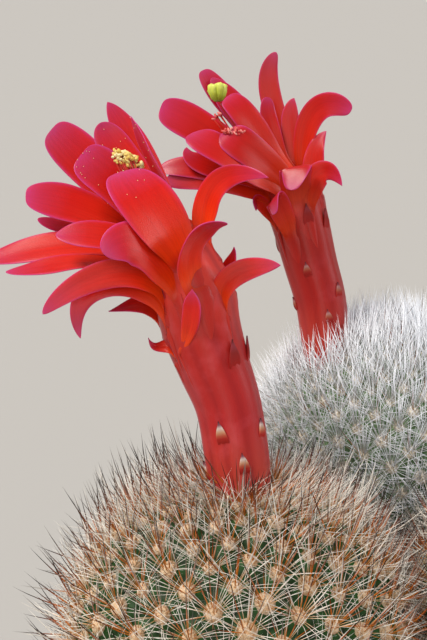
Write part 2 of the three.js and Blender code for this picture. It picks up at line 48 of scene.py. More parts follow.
def linear(hexColour):
    channels = [int(hexColour[i:i + 2], 16) / 255 for i in (1, 3, 5)]
    return [c / 12.92 if c <= 0.04045 else ((c + 0.055) / 1.055) ** 2.4 for c in channels] + [1.0]


def setInputs(tree, node, inputs):
    # an input takes a value, a socket, or a node, which is linked by its first output in use
    for name, value in inputs.items():
        if isinstance(value, bpy.types.Node):
            value = next(output for output in value.outputs if output.enabled)
        if isinstance(value, bpy.types.NodeSocket):
            tree.links.new(value, node.inputs[name])
        else:
            node.inputs[name].default_value = value


def addNode(tree, kind, inputs=None, stops=(), **settings):
    node = tree.nodes.new(kind)
    for name, value in settings.items():
        setattr(node, name, value)
    for i, (place, colour) in enumerate(stops):  # the stops of a colour ramp
        element = node.color_ramp.elements[i] if i < 2 else node.color_ramp.elements.new(place)
        element.position, element.color = place, linear(colour)
    setInputs(tree, node, inputs or {})
    return node


def startMaterial(name, *reads):
    # a new material: its tree, its shader, and the values on the piece that it reads
    material = bpy.data.materials.new(name)
    material.use_nodes = True
    tree = material.node_tree
    values = [addNode(tree, "ShaderNodeAttribute", attribute_name=key).outputs["Fac"] for key in reads]
    return material, tree, tree.nodes["Principled BSDF"], *values


def layered(tree, colour, layers):
    # lays more colours over the first one, each by its own share
    for share, layer in layers:
        colour = addNode(tree, "ShaderNodeMix", {0: share, 6: colour, 7: layer}, data_type="RGBA")
    return colour


def meshPiece(name, points, faces, values=None, isSmooth=True):
    mesh = bpy.data.meshes.new(name)
    mesh.from_pydata((np.asarray(points, float) * mm).tolist(), [], [list(map(int, f)) for f in faces])
    for key, data in (values or {}).items():
        mesh.attributes.new(key, "FLOAT", "POINT").data.foreach_set("value", np.asarray(data, np.float32))
    mesh.polygons.foreach_set("use_smooth", [isSmooth] * len(mesh.polygons))
    mesh.update()
    piece = bpy.data.objects.new(name, mesh)
    bpy.context.collection.objects.link(piece)
    return piece


def finishPiece(piece, material, slotName, *nodes):
    piece.data.materials.clear()
    piece.data.materials.append(material)
    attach(piece, "root")
    if nodes:
        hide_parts(*nodes)
    return piece


def recalculate(piece):
    # turns every face outwards
    bm = bmesh.new()
    bm.from_mesh(piece.data)
    bmesh.ops.recalc_face_normals(bm, faces=bm.faces)
    bm.to_mesh(piece.data)
    bm.free()


def bake(piece):
    # turns a piece with its modifiers into a plain mesh and takes the modifiers off
    done = piece.evaluated_get(bpy.context.evaluated_depsgraph_get())
    mesh = bpy.data.meshes.new_from_object(done)
    piece.modifiers.clear()
    piece.data = mesh
    return piece


def joined(name, parts):
    # one piece from several sets of points, faces and values
    points, faces, values, start = [], [], {}, 0
    for p, f, v in parts:
        points.append(p)
        faces += [tuple(i + start for i in face) for face in f]
        for key, data in v.items():
            values.setdefault(key, []).append(data)
        start += len(p)
    return meshPiece(name, np.vstack(points), faces, {k: np.concatenate(d) for k, d in values.items()})


def sheetFaces(rows, columns, isClosed=False):
    # the squares between rows of points, closed to a tube where the rows are rings
    faces = []
    for i in range(rows - 1):
        for j in range(columns if isClosed else columns - 1):
            a, b = i * columns + j, i * columns + (j + 1) % columns
            faces.append((a, b, b + columns, a + columns))
    return faces


def capFaces(rings, sides, first, last):
    # closes the first and the last ring on a point each
    faces, start = [], (rings - 1) * sides
    for j in range(sides):
        k = (j + 1) % sides
        faces += [(first, k, j), (last, start + j, start + k)]
    return faces


def unit(v):
    return v / np.maximum(np.linalg.norm(v, axis=-1, keepdims=True), 1e-9)


def smoothLine(points, count):
    # a rounded line through the points
    p = np.asarray(points, float)
    p = np.vstack([2 * p[0] - p[1], p, 2 * p[-1] - p[-2]])
    made = []
    for t in np.linspace(0, len(p) - 3 - 1e-6, count):
        i, f = int(t) + 1, t - int(t)
        a, b, c, d = p[i - 1], p[i], p[i + 1], p[i + 2]
        square, cube = 2 * a - 5 * b + 4 * c - d, 3 * b - 3 * c + d - a
        made.append(0.5 * (2 * b + (c - a) * f + square * f * f + cube * f ** 3))
    return np.array(made)


# materials, with their colours as stops from a piece's foot to its tip

palette = {
    "petalInner": [(0.0, "#bc2a20"), (0.13, "#e8420e"), (0.35, "#da2a0c"), (0.7, "#c81812"),
                   (1.0, "#b82848")],
    "petalOuter": [(0.0, "#b4261e"), (0.3, "#c4241a"), (0.75, "#b61c20"), (1.0, "#ac3250")],
    "tube": [(0.0, "#c85442"), (0.16, "#c04638"), (0.34, "#ac2222"), (0.58, "#b2241e"), (0.82, "#cc3a2e"),
             (1.0, "#c02c20")],
    "scaleRed": [(0.0, "#a8201c"), (0.55, "#8a1c18"), (0.8, "#8c3038"), (1.0, "#4a1418")],
    "scaleCream": [(0.3, "#b22c26"), (0.42, "#b6543e"), (0.56, "#c08c6c"), (0.72, "#c8b4ac"),
                   (0.84, "#84505a"), (1.0, "#34141a")],
    "spinePale": [(0.0, "#dc9040"), (0.16, "#f4d6a8"), (0.36, "#fcf8ee"), (1.0, "#f8f2e6")],
    "spineBrown": [(0.0, "#f4a848"), (0.28, "#c8681e"), (0.5, "#682c10"), (0.7, "#1c0d08"), (1.0, "#080403")],
    "spineWhite": [(0.0, "#f4efe2"), (0.2, "#f7fafe"), (1.0, "#f2f7ff")],
}


def makeSpineMaterial(name, pale, roughness):
    # dry spine: hard keratin-like cellulose, glassy where it is pale and horn-brown where it is old
    material, tree, shader, along, tint = startMaterial(name, "along", "tint")
    paleSide = addNode(tree, "ShaderNodeValToRGB", {"Fac": along}, pale)
    brownSide = addNode(tree, "ShaderNodeValToRGB", {"Fac": along}, palette["spineBrown"])
    gloss = addNode(tree, "ShaderNodeMath", {0: tint, 1: -0.4, 2: 0.6}, operation="MULTIPLY_ADD")
    setInputs(tree, shader, {
        "Base Color": layered(tree, paleSide, [(tint, brownSide)]), "Roughness": roughness, "IOR": 1.5,
        "Specular IOR Level": gloss})  # old brown spines are duller
    return material


def makeFlesh(name, furrowShade, high):
    # living stem skin: waxy cuticle over green flesh, with painted shade that darkens the furrows between
    # tubercles
    material, tree, shader, rise = startMaterial(name, "rise")
    where = addNode(tree, "ShaderNodeTexCoord").outputs["Object"]
    speckle = addNode(tree, "ShaderNodeTexNoise", {"Vector": where, "Scale": 900.0, "Detail": 3.0})  # 1.1 mm
    shade = addNode(tree, "ShaderNodeMath", {0: speckle, 1: 0.25, 2: rise}, operation="MULTIPLY_ADD")
    setInputs(tree, shader, {
        "Base Color": addNode(tree, "ShaderNodeValToRGB", {"Fac": shade}, [(0.15, furrowShade), (1.05, high)]),
        "Roughness": 0.55, "IOR": 1.42, "Specular IOR Level": 0.3,
        "Normal": addNode(tree, "ShaderNodeBump", {"Height": speckle, "Distance": 0.0003, "Strength": 0.4})})
    return material


def makeWool(name, light, dark):
    # areole felt: matted plant hair, soft and dull, its fibres drawn 0.45 mm wide so that they show
    material, tree, shader = startMaterial(name)
    where = addNode(tree, "ShaderNodeTexCoord").outputs["Object"]
    fibre = addNode(tree, "ShaderNodeTexNoise", {
        "Vector": where, "Scale": 2200.0, "Detail": 4.0, "Roughness": 0.7})
    setInputs(tree, shader, {
        "Base Color": addNode(tree, "ShaderNodeValToRGB", {"Fac": fibre}, [(0.3, dark), (0.62, light)]),
        "Roughness": 0.95, "IOR": 1.4, "Sheen Weight": 0.3,
        "Normal": addNode(tree, "ShaderNodeBump", {"Height": fibre, "Distance": 0.0006, "Strength": 0.8})})
    return material


def addTissue(tree, shader, subsurface, sheen):
    # what petals and tubes share: light that sinks in a little, and the soft bloom of tiny domed cells,
    # drawn 0.18 mm wide, which is larger than life
    where = addNode(tree, "ShaderNodeTexCoord").outputs["Object"]
    cells = addNode(tree, "ShaderNodeTexVoronoi", {"Vector": where, "Scale": 5500.0})
    setInputs(tree, shader, {
        "Normal": addNode(tree, "ShaderNodeBump", {"Height": cells, "Distance": 0.00004, "Strength": 0.5}),
        "Subsurface Weight": subsurface, "Subsurface Radius": (1.0, 0.2, 0.1), "Subsurface Scale": 0.001,
        "Specular IOR Level": 0.28, "Coat Weight": 0.12, "Coat Roughness": 0.3,
        "Sheen Weight": sheen, "Sheen Roughness": 0.35, "Sheen Tint": linear("#e884b8")})


def makePetal(name, depth):
    # living petal: thin wet tissue, satin, orange in the throat and lilac along its rim
    material, tree, shader, along, across, inner, seed = startMaterial(
        name, "along", "across", "inner", "seed")
    spot = addNode(tree, "ShaderNodeCombineXYZ", {"X": across, "Y": along, "Z": seed})
    spot = addNode(tree, "ShaderNodeVectorMath", {0: spot, 1: (2.6, 0.7, 40.0)}, operation="MULTIPLY")
    streak = addNode(tree, "ShaderNodeTexNoise", {
        "Vector": spot, "Scale": 3.2, "Detail": 5.0, "Roughness": 0.65})
    streak = addNode(tree, "ShaderNodeMapRange", {"Value": streak, "From Min": 0.42, "From Max": 1.5})
    side = addNode(tree, "ShaderNodeMath", {0: across}, operation="ABSOLUTE")
    side = addNode(tree, "ShaderNodeMath", {0: side, 1: 14.0}, operation="POWER")
    far = addNode(tree, "ShaderNodeMapRange", {
        "Value": along, "From Min": 0.2, "From Max": 0.9, "To Max": 0.75})
    side = addNode(tree, "ShaderNodeMath", {0: side, 1: far}, operation="MULTIPLY")
    tip = addNode(tree, "ShaderNodeMath", {0: along, 1: 16.0}, operation="POWER")
    tip = addNode(tree, "ShaderNodeMath", {0: tip, 1: 0.35}, operation="MULTIPLY")
    rim = addNode(tree, "ShaderNodeMath", {0: side, 1: tip}, operation="MAXIMUM")
    innerSide = addNode(tree, "ShaderNodeValToRGB", {"Fac": along}, palette["petalInner"])
    outerSide = addNode(tree, "ShaderNodeValToRGB", {"Fac": along}, palette["petalOuter"])
    setInputs(tree, shader, {"Roughness": 0.34, "IOR": 1.42, "Base Color": layered(tree, outerSide, [
        (inner, innerSide), (streak, linear("#92080c")), (depth, linear("#a00c06")),
        (rim, linear("#c4489a"))])})
    addTissue(tree, shader, 0.2, 0.14 * (1 - depth))
    return material


def makeTube(name, depth):
    # floral tube: the same tissue, smoother and fleshier, striped along its length and clouded every 4 mm
    material, tree, shader, stripe, along = startMaterial(name, "stripe", "along")
    where = addNode(tree, "ShaderNodeTexCoord").outputs["Object"]
    cloud = addNode(tree, "ShaderNodeTexNoise", {"Vector": where, "Scale": 260.0, "Detail": 3.0})
    cloud = addNode(tree, "ShaderNodeMapRange", {"Value": cloud, "From Min": 0.5, "From Max": 1.3})
    stripe = addNode(tree, "ShaderNodeMath", {0: stripe, 1: 0.5}, operation="MULTIPLY")
    flesh = addNode(tree, "ShaderNodeValToRGB", {"Fac": along}, palette["tube"])
    setInputs(tree, shader, {"Roughness": 0.38, "IOR": 1.4, "Base Color": layered(tree, flesh, [
        (stripe, linear("#8e1418")), (cloud, linear("#d25660")), (depth, linear("#94180c"))])})
    addTissue(tree, shader, 0.15, 0.15 * (1 - depth))
    return material


def makeScaleSkin(name):
    # tube scale: fleshy foot, woolly cream middle, dry brown tip
    material, tree, shader, along, pale = startMaterial(name, "along", "pale")
    red = addNode(tree, "ShaderNodeValToRGB", {"Fac": along}, palette["scaleRed"])
    cream = addNode(tree, "ShaderNodeValToRGB", {"Fac": along}, palette["scaleCream"])
    setInputs(tree, shader, {"Base Color": layered(tree, red, [(pale, cream)]), "Roughness": 0.6, "IOR": 1.4,
                             "Specular IOR Level": 0.3})
    return material


def makeGrainy(name, value, stops, roughness, ior, grain=0):
    # a plain matt or moist material whose colour follows one value on the piece, with a fine grain if asked
    material, tree, shader, share = startMaterial(name, value)
    setInputs(tree, shader, {"Base Color": addNode(tree, "ShaderNodeValToRGB", {"Fac": share}, stops),
                             "Roughness": roughness, "IOR": ior})
    if grain:
        where = addNode(tree, "ShaderNodeTexCoord").outputs["Object"]
        rough = addNode(tree, "ShaderNodeTexNoise", {"Vector": where, "Scale": grain, "Detail": 2.0})
        bump = addNode(tree, "ShaderNodeBump", {"Height": rough, "Distance": 0.0003, "Strength": 0.8})
        setInputs(tree, shader, {"Normal": bump})
    return material


def makeClay(name):
    # terracotta: fired porous clay, matt, a little uneven in colour every 3 cm, with grains of 0.7 mm
    material, tree, shader = startMaterial(name)
    where = addNode(tree, "ShaderNodeTexCoord").outputs["Object"]
    cloud = addNode(tree, "ShaderNodeTexNoise", {
        "Vector": where, "Scale": 35.0, "Detail": 6.0, "Roughness": 0.6})
    grain = addNode(tree, "ShaderNodeTexNoise", {"Vector": where, "Scale": 1400.0, "Detail": 3.0})
    setInputs(tree, shader, {
        "Base Color": addNode(tree, "ShaderNodeValToRGB", {"Fac": cloud},
                              [(0.3, "#9a5236"), (0.55, "#a95c3e"), (0.78, "#b87050")]),
        "Roughness": 0.85, "IOR": 1.5,
        "Normal": addNode(tree, "ShaderNodeBump", {"Height": grain, "Distance": 0.0003, "Strength": 0.5})})
    return material


hornSpine = makeSpineMaterial("glassyAndHornSpine", palette["spinePale"], 0.26)
whiteSpine = makeSpineMaterial("whiteSpine", palette["spineWhite"], 0.32)
# each stem skin's first colour is painted shade for the furrows, its second the tubercles' green
greenFlesh = makeFlesh("waxyGreenStem", "#0a1a08", "#32602c")
paleFlesh = makeFlesh("waxyPaleStem", "#2a4224", "#7a9a6a")
peachWool = makeWool("areoleFeltPeach", "#fbe2bc", "#d09a66")
creamWool = makeWool("areoleFeltCream", "#fbf3e2", "#d6c29c")
petalSkins = {"front": makePetal("satinPetal", 0.0), "back": makePetal("satinPetalDeep", 0.35)}
tubeSkins = {"front": makeTube("fleshyTube", 0.0), "back": makeTube("fleshyTubeDeep", 0.45)}
scaleSkin = makeScaleSkin("dryTippedScale")
clay = makeClay("terracotta")
# grit: crushed pumice and brown stone chips, dry
stone = makeGrainy("dryGrit", "tint", [
    (0.0, "#3d3026"), (0.35, "#6a5644"), (0.7, "#8f7d68"), (1.0, "#c9bda8")], 0.9, 1.5)
# pollen sac: powdery and opaque, its grains drawn 0.2 mm wide, larger than life, so that they show
pollen = makeGrainy("powderyPollen", "tint", [(0.0, "#e2bc54"), (0.5, "#f0d684"), (1.0, "#f8ecbc")],
                    0.85, 1.4, grain=5000.0)
# spent sac: empty pollen sacs of the older flower, pale pink and papery
spent = makeGrainy("paperySpentSac", "tint", [(0.0, "#c03430"), (0.6, "#d4605c"), (1.0, "#e89a92")], 0.7, 1.4)
# stigma: moist sticky lobes
lime = makeGrainy("moistStigma", "along", [(0.0, "#8c9c28"), (0.45, "#b9c840"), (1.0, "#dbe06c")], 0.4, 1.4)
print("materials ready")


# the brush: one small shape on every point of a cloud

def makeBrushTree():
    tree = bpy.data.node_groups.new("brushOnPoints", "GeometryNodeTree")
    for label, kind in (("Points", "NodeSocketGeometry"), ("Shapes", "NodeSocketCollection"),
                        ("Unit size", "NodeSocketFloat"), ("Finish", "NodeSocketMaterial")):
        tree.interface.new_socket(name=label, in_out="INPUT", socket_type=kind)
    tree.interface.new_socket(name="Mesh", in_out="OUTPUT", socket_type="NodeSocketGeometry")
    start = addNode(tree, "NodeGroupInput")
    shapes = addNode(tree, "GeometryNodeCollectionInfo", {
        "Collection": start.outputs["Shapes"], "Separate Children": True, "Reset Children": True})
    turn = addNode(tree, "GeometryNodeInputNamedAttribute", {"Name": "turn"}, data_type="FLOAT_VECTOR")
    size = addNode(tree, "GeometryNodeInputNamedAttribute", {"Name": "size"}, data_type="FLOAT_VECTOR")
    kind = addNode(tree, "GeometryNodeInputNamedAttribute", {"Name": "kind"}, data_type="INT")
    scale = addNode(tree, "ShaderNodeVectorMath", {
        0: size, "Scale": start.outputs["Unit size"]}, operation="SCALE")
    rotation = addNode(tree, "FunctionNodeEulerToRotation", {"Euler": turn})
    placed = addNode(tree, "GeometryNodeInstanceOnPoints", {
        "Points": start.outputs["Points"], "Instance": shapes, "Pick Instance": True, "Instance Index": kind,
        "Rotation": rotation, "Scale": scale})
    real = addNode(tree, "GeometryNodeRealizeInstances", {"Geometry": placed})
    painted = addNode(tree, "GeometryNodeSetMaterial", {
        "Geometry": real, "Material": start.outputs["Finish"]})
    addNode(tree, "NodeGroupOutput", {"Mesh": painted})
    return tree


brushTree = makeBrushTree()


def brush(name, points, direction, bendWay, sizes, tint, kinds, shapes, material):
    # each shape stands along its direction and bends its own way, its sizes in mm
    z = unit(direction)
    x = unit(bendWay - z * (bendWay * z).sum(1, keepdims=True))
    y = np.cross(z, x)
    turn = np.stack([np.arctan2(y[:, 2], z[:, 2]), -np.arcsin(np.clip(x[:, 2], -1, 1)),
                     np.arctan2(x[:, 1], x[:, 0])], 1)
    piece = meshPiece(name, points, [], {"tint": tint})
    for key, data in (("turn", turn), ("size", sizes)):
        made = piece.data.attributes.new(key, "FLOAT_VECTOR", "POINT")
        made.data.foreach_set("vector", data.astype(np.float32).ravel())
    piece.data.attributes.new("kind", "INT", "POINT").data.foreach_set("value", kinds.astype(np.int32))
    modifier = piece.modifiers.new("brush", "NODES")
    modifier.node_group = brushTree
    inputs = {item.name: item.identifier for item in brushTree.interface.items_tree if item.in_out == "INPUT"}
    modifier[inputs["Shapes"]] = shapes
    modifier[inputs["Unit size"]] = mm
    modifier[inputs["Finish"]] = material
    bake(piece)
    for key in ("turn", "size", "kind"):
        if key in piece.data.attributes:
            piece.data.attributes.remove(piece.data.attributes[key])
    piece.data.polygons.foreach_set("use_smooth", [True] * len(piece.data.polygons))
    return piece


def shelve(shape, group):
    # keeps a shape for the brush and out of the scene
    bpy.context.collection.objects.unlink(shape)
    group.objects.link(shape)


def makeSpineShapes(name, slimness, sections, bends):
    # pointed three-sided spines of length 1, each bent a little more than the last
    group = bpy.data.collections.new(name)
    for k, bend in enumerate(bends):
        along = np.linspace(0, 1, sections)
        width = slimness * np.where(along < 0.12, 0.8 + along / 0.6, (1 - along) ** 0.7 * 1.08)
        points, values = [], []
        for a, w in zip(along[:-1], width):
            for c in range(3):
                turn = 2 * math.pi * c / 3
                points.append((w * math.cos(turn) + bend * a * a, w * math.sin(turn), a))
                values.append(a)
        points.append((bend, 0, 1))
        values.append(1)
        last, tip = (sections - 2) * 3, len(points) - 1
        faces = sheetFaces(sections - 1, 3, True)
        faces += [(last, last + 1, tip), (last + 1, last + 2, tip), (last + 2, last, tip), (2, 1, 0)]
        shelve(meshPiece(f"{name}{k}", np.array(points) / mm, faces, {"along": values}), group)
    return group


def makeLumps(name, count, seed, jitter, isStone=False):
    # small uneven lumps of radius 1, for wool pads, pollen sacs and, with corners, grit
    rng = np.random.default_rng(seed)
    group = bpy.data.collections.new(name)
    for k in range(count):
        bm = bmesh.new()
        if isStone:
            bmesh.ops.create_icosphere(bm, subdivisions=1, radius=1)
        else:
            bmesh.ops.create_uvsphere(bm, u_segments=8, v_segments=4, radius=1)
        points = np.array([v.co for v in bm.verts]) * rng.uniform(1 - jitter, 1 + jitter, (len(bm.verts), 1))
        faces = [[v.index for v in f.verts] for f in bm.faces]
        bm.free()
        shelve(meshPiece(f"{name}{k}", points / mm, faces, {"along": np.zeros(len(points))}), group)
    return group


# flowers, in mm in each flower's own frame: x right, y towards the viewer, z up the flower

leanBack = math.radians(15)  # that frame leans back by this much

# each petal: four points of its midline from root to tip, its width, the way its inner face looks,
# bluntness, cup, width of the root as a share, and where along it is widest
frontTepals = [
    ((-12, -4, 42), (-20, -7, 50), (-27.5, -9, 58), (-33.5, -9, 64),
     9, (0.35, 0.85, 0.35), 0.3, 0.25, 0.55, 0.75),
    ((-12.5, -1, 41.5), (-21, -2, 46.5), (-29, -2, 50), (-37, -1, 51.5),
     8, (0.1, 0.75, 0.65), 0.3, 0.25, 0.6, 0.72),
    ((-12, 0, 44), (-17, 0, 49), (-22, 0, 54), (-27.5, 0, 58.5),
     8.5, (0.35, 0.85, 0.3), 0.25, 0.25, 0.6, 0.78),
    ((-10, 6, 40), (-13, 8, 45.5), (-16.5, 8, 50.5), (-20, 5, 55.2),
     10.5, (0.45, 0.85, 0.2), 0.3, 0.15, 0.7, 0.65),
    ((-9, 3, 43), (-12, 2, 51), (-15.5, 1, 58), (-19, 0, 65), 6, (-0.9, 0.25, -0.3), 0.7, 0.3, 0.6, 0.5),
    ((-11, -5, 44.5), (-15, -6, 53.5), (-19.5, -7, 62), (-23.5, -7, 68.5),
     5.5, (0.3, 0.9, 0), 0.8, 0.25, 0.6, 0.6),
    ((-11.5, -3, 44), (-16, -3, 52), (-21, -4, 59), (-24.5, -4, 64.5), 6, (0.3, 0.9, 0), 0.5, 0.25, 0.6, 0.7),
    ((-12.5, 3, 38.5), (-18.5, 6, 43), (-25, 7, 44.5), (-31, 7, 44.5),
     6, (0, 0.7, 0.7), 0.6, 0.25, 0.6, 0.55),
    ((-10.5, 5, 34), (-14, 8, 40), (-18, 11, 43), (-22.5, 13, 41),
     7.5, (0.2, 0.7, 0.7), 0.42, -0.1, 0.65, 0.6),
    ((-14, 0, 38), (-23.5, 1, 43), (-34.5, 1, 42.5), (-44, 1, 40.5), 6, (0, 0.6, 0.8), 0.6, 0.25, 0.6, 0.6),
    ((-14, 2, 36.5), (-23, 4, 40), (-31.5, 5, 39.5), (-39.5, 5, 38.5),
     4.4, (0, 0.5, 0.8), 0.6, 0.3, 0.7, 0.6),
    ((-12, 3, 31), (-17, 6, 38), (-25.5, 8, 37), (-33, 8, 31.5), 5, (0.3, 0.75, 0.6), 0.6, 0.2, 0.8, 0.4),
    ((-12, 3, 28), (-17, 5, 36), (-25, 6, 35.5), (-27, 6, 27.5), 4.8, (0.3, 0.8, 0.5), 0.7, 0.2, 0.8, 0.4),
    ((-12, -1, 28), (-15.5, -2, 32.5), (-19, -3, 33), (-23, -3, 32), 4, (0.2, 0.8, 0.5), 1, 0.3, 0.8, 0.35),
    ((-5.5, 1, 40.5), (-6, 1, 50), (-2.5, 3, 54.5), (4, 7, 54), 4.8, (-0.5, 0.8, 0.3), 0.8, 0.3, 0.7, 0.35),
    ((-8, 5.6, 34.5), (-9.2, 8, 40.5), (-6.9, 9.8, 44.8), (-2.7, 10.5, 46.1),
     6, (0.15, 0.7, 0.6), 0.6, 0.2, 0.8, 0.5),
    ((-3, 4, 31), (-3, 6, 36.5), (1, 7, 39), (6, 8, 39.5), 4, (-0.5, 0.7, 0.4), 0.8, 0.2, 0.8, 0.5),
    ((-3, -1, 34.5), (-3, -2, 37.5), (-2, -2, 40.5), (-1.5, -2, 43), 3.4, (-0.5, 0.8, 0), 1, 0.2, 0.8, 0.3),
    ((-13, -5, 41.5), (-22, -7, 45.5), (-29, -6, 46.5), (-35.3, -4, 47.9),
     4, (0, 0.7, 0.7), 0.5, 0.2, 0.6, 0.6),
    ((-10.5, 4, 25), (-9, 6.5, 29), (-8.5, 8, 32.5), (-8.5, 9, 35.5), 3.4, (-0.2, 0.9, 0), 1, 0.15, 0.2, 0.6),
    ((-10, 2, 23.5), (-12.5, 2, 26), (-14.5, 1, 26), (-16, 1, 27.5), 2.4, (0, 0.8, 0.6), 1, 0.2, 0.9, 0.3),
]
backTepals = [
    ((-8.5, -3, 29), (-14, -4, 38.5), (-20, -4, 46.5), (-24.5, -4, 52.8),
     5.5, (0.4, 0.9, 0.1), 0.35, 0.2, 0.5, 0.7),
    ((-7.5, -1, 28.5), (-13, -2, 38), (-18.5, -3, 45.5), (-22.8, -3, 51),
     6.5, (0.4, 0.9, 0.1), 0.6, 0.15, 0.6, 0.5),
    ((-9.5, 2, 27.5), (-17, 3, 34), (-25, 3, 40), (-33, 3, 44), 8, (0.1, 0.9, 0.4), 0.3, 0.15, 0.6, 0.75),
    ((-7, 3, 28), (-12, 5, 36), (-16.5, 6, 42.5), (-19.9, 5, 45.8), 6, (0.4, 0.9, 0.2), 0.35, 0.1, 0.7, 0.65),
    ((-6.5, -4, 29.5), (-8.5, -5, 40), (-11, -5, 49), (-9.6, -4, 56.4),
     4.4, (-0.1, 0.9, 0.1), 0.5, 0.2, 0.7, 0.6),
    ((-7, -1, 28.5), (-9.5, -1, 36), (-11.2, -1, 42), (-11.5, -1, 46.8),
     3.6, (0.2, 0.9, 0.1), 0.35, 0.2, 0.8, 0.6),
    ((-5.2, -2, 28), (-6.2, -2, 35), (-6.9, -2, 42), (-6.1, -2, 46.8),
     3.8, (-0.2, 0.9, 0.1), 0.8, 0.2, 0.8, 0.6),
    ((-3.5, 0, 26), (-4.2, 1, 37.5), (-1.3, 3, 44), (4.6, 6, 43),
     5.2, (-0.5, 0.8, 0.3), 0.32, 0.3, 0.5, 0.65),
    ((-2.5, 2, 26), (-2.5, 3, 31.5), (-2, 3, 36), (0, 3, 39.5), 4.4, (-0.4, 0.9, 0.1), 0.8, 0.2, 0.7, 0.4),
    ((-3.5, 5, 23), (-3, 7, 28.5), (-0.5, 8, 31), (2.5, 10, 28), 5, (-0.3, 0.8, 0.5), 0.8, 0.2, 0.8, 0.4),
    ((-5.5, 5, 23), (-6.5, 8, 29.5), (-6.5, 10, 31.5), (-7.5, 12, 27),
     6.5, (0, 0.9, 0.2), 0.35, 0.1, 0.7, 0.5),
    ((-7, 4, 17.5), (-9, 7, 23), (-10.5, 9, 25.5), (-10.5, 11, 22.5), 4.6, (0, 0.9, 0.3), 0.3, 0.1, 0.8, 0.5),
    ((-8.5, 2, 19), (-12, 4, 24), (-14, 5, 25.5), (-14, 6, 23.5), 2.8, (-0.2, 0.8, 0.5), 0.5, 0.1, 0.8, 0.4),
    ((-9, 1, 26.5), (-16.5, 4, 30), (-25.6, 5, 32), (-33.2, 4, 31.7), 5, (0.1, 0.9, 0.4), 0.5, 0.2, 0.7, 0.6),
    ((-9, 2, 24.5), (-16, 5, 28.5), (-24.1, 5.5, 30), (-32, 5, 29), 5.5, (0.1, 0.9, 0.3), 0.5, 0.2, 0.7, 0.6),
    ((-9, 2, 26.5), (-16, 4.5, 30.5), (-24, 6, 32.5), (-27.7, 5, 36), 5, (0.1, 0.8, 0.6), 0.7, 0.2, 0.7, 0.5),
    ((-7.5, 4, 27.5), (-12, 7.5, 32.5), (-16.8, 10, 36), (-20.3, 9, 38.5),
     7, (0.3, 0.9, 0.3), 0.3, 0.1, 0.7, 0.65),
    ((-8, 4.5, 27), (-14, 8.5, 31), (-21.1, 11, 35), (-26.7, 9, 38.2),
     7.5, (0.2, 0.8, 0.5), 0.35, 0, 0.7, 0.65),
]
flowers = {
    "front": {
        "base": (-20.5, -18.8, 133.9), "clear": 5.8, "skin": "front", "paleScales": 1, "node": "front_flower",
        "axis": [(0.3, 0, -4), (-0.2, 0, 1.5), (-1, 0, 7), (-2.5, 0, 16), (-5, 0, 23), (-7, 0, 29),
                 (-8, 0, 34), (-9.5, 0, 38), (-11.5, 0, 42.5)],
        "radii": [4.5, 4.9, 5.5, 5.5, 6.1, 6.7, 6.9, 6.4, 5.5],
        # height on the tube, turn in degrees (90 faces the viewer), size
        "scales": [(-0.6, 124, 1), (4.7, 172, 1), (6.5, 80, 1), (11.5, 110, 1.1), (12.1, 31, 1),
                   (25.2, 8, 1.35), (24.6, 53, 1.35), (3, 250, 1), (8.5, 215, 1), (5.5, 320, 1),
                   (14.5, 280, 1.1), (18.5, 225, 1.3), (21, 315, 1.5)],
        "tepals": frontTepals,
    },
    "back": {
        "base": (-3.1, 32.9, 149.6), "clear": 5.2, "skin": "back", "paleScales": 0.35, "node": "back_flower",
        "axis": [(1, 0, -7.5), (0, 0, -2), (-1, 0, 6), (-3, 0, 13.5), (-5, 0, 21.5), (-6.5, 0, 26.5),
                 (-8, 0, 30)],
        "radii": [4.6, 4.8, 5.1, 5.3, 5.7, 6, 5.2],
        "scales": [(22.5, 76, 1.2), (21.8, 33, 1.2), (11.8, 105, 0.8), (7.7, 44, 0.9), (2.5, 80, 0.8),
                   (5, 170, 0.8), (9.5, 240, 0.9), (13.5, 320, 1), (17, 200, 1.1), (20.5, 270, 1.2)],
        "tepals": backTepals,
    },
}


def place(flower, points):
    # from the flower's own frame to the plant's
    p = np.asarray(points, float)
    s, c = math.sin(leanBack), math.cos(leanBack)
    turned = np.stack([p[..., 0], -p[..., 1] * c + p[..., 2] * s, p[..., 1] * s + p[..., 2] * c], -1)
    return turned + np.array(flower["base"])


for flower in flowers.values():
    flower["line"] = place(flower, smoothLine(flower["axis"], 40))


# heads: lengths in mm, turns in radians, leans in degrees

headShape = {
    "taper": 0.16,  # how much narrower a head is at the soil
    "crowding": 0.5,  # how much less room an areole has at the crown
    "flowerFoot": (0.5, 2),  # where the flower's foot stands, from the head's axis
    "dipWidth": 9, "partingWidth": 13,  # how far round that foot the crown sinks and the spines part
    "step": 0.05,  # how finely the outline is measured
    "buried": 14,  # how deep the foot reaches into the soil
}
spineRoots = {  # where spines start, as shares of the wool pad's height and width, and how far they turn up
    "radials": {"up": 0.62, "out": 0.6, "rise": 0.05},
    "centrals": {"up": 0.8, "out": 0.3, "rise": 0.35},
}
spineShapes = {  # how thick for its length, rows of points, how far each of three shapes bends
    "slim": makeSpineShapes("slimSpine", 0.0092, 4, (0.08, 0.17, 0.27)),
    "stout": makeSpineShapes("stoutSpine", 0.014, 5, (0.03, 0.08, 0.14)),
    "fine": makeSpineShapes("fineSpine", 0.0115, 3, (0.05, 0.1, 0.18)),
}
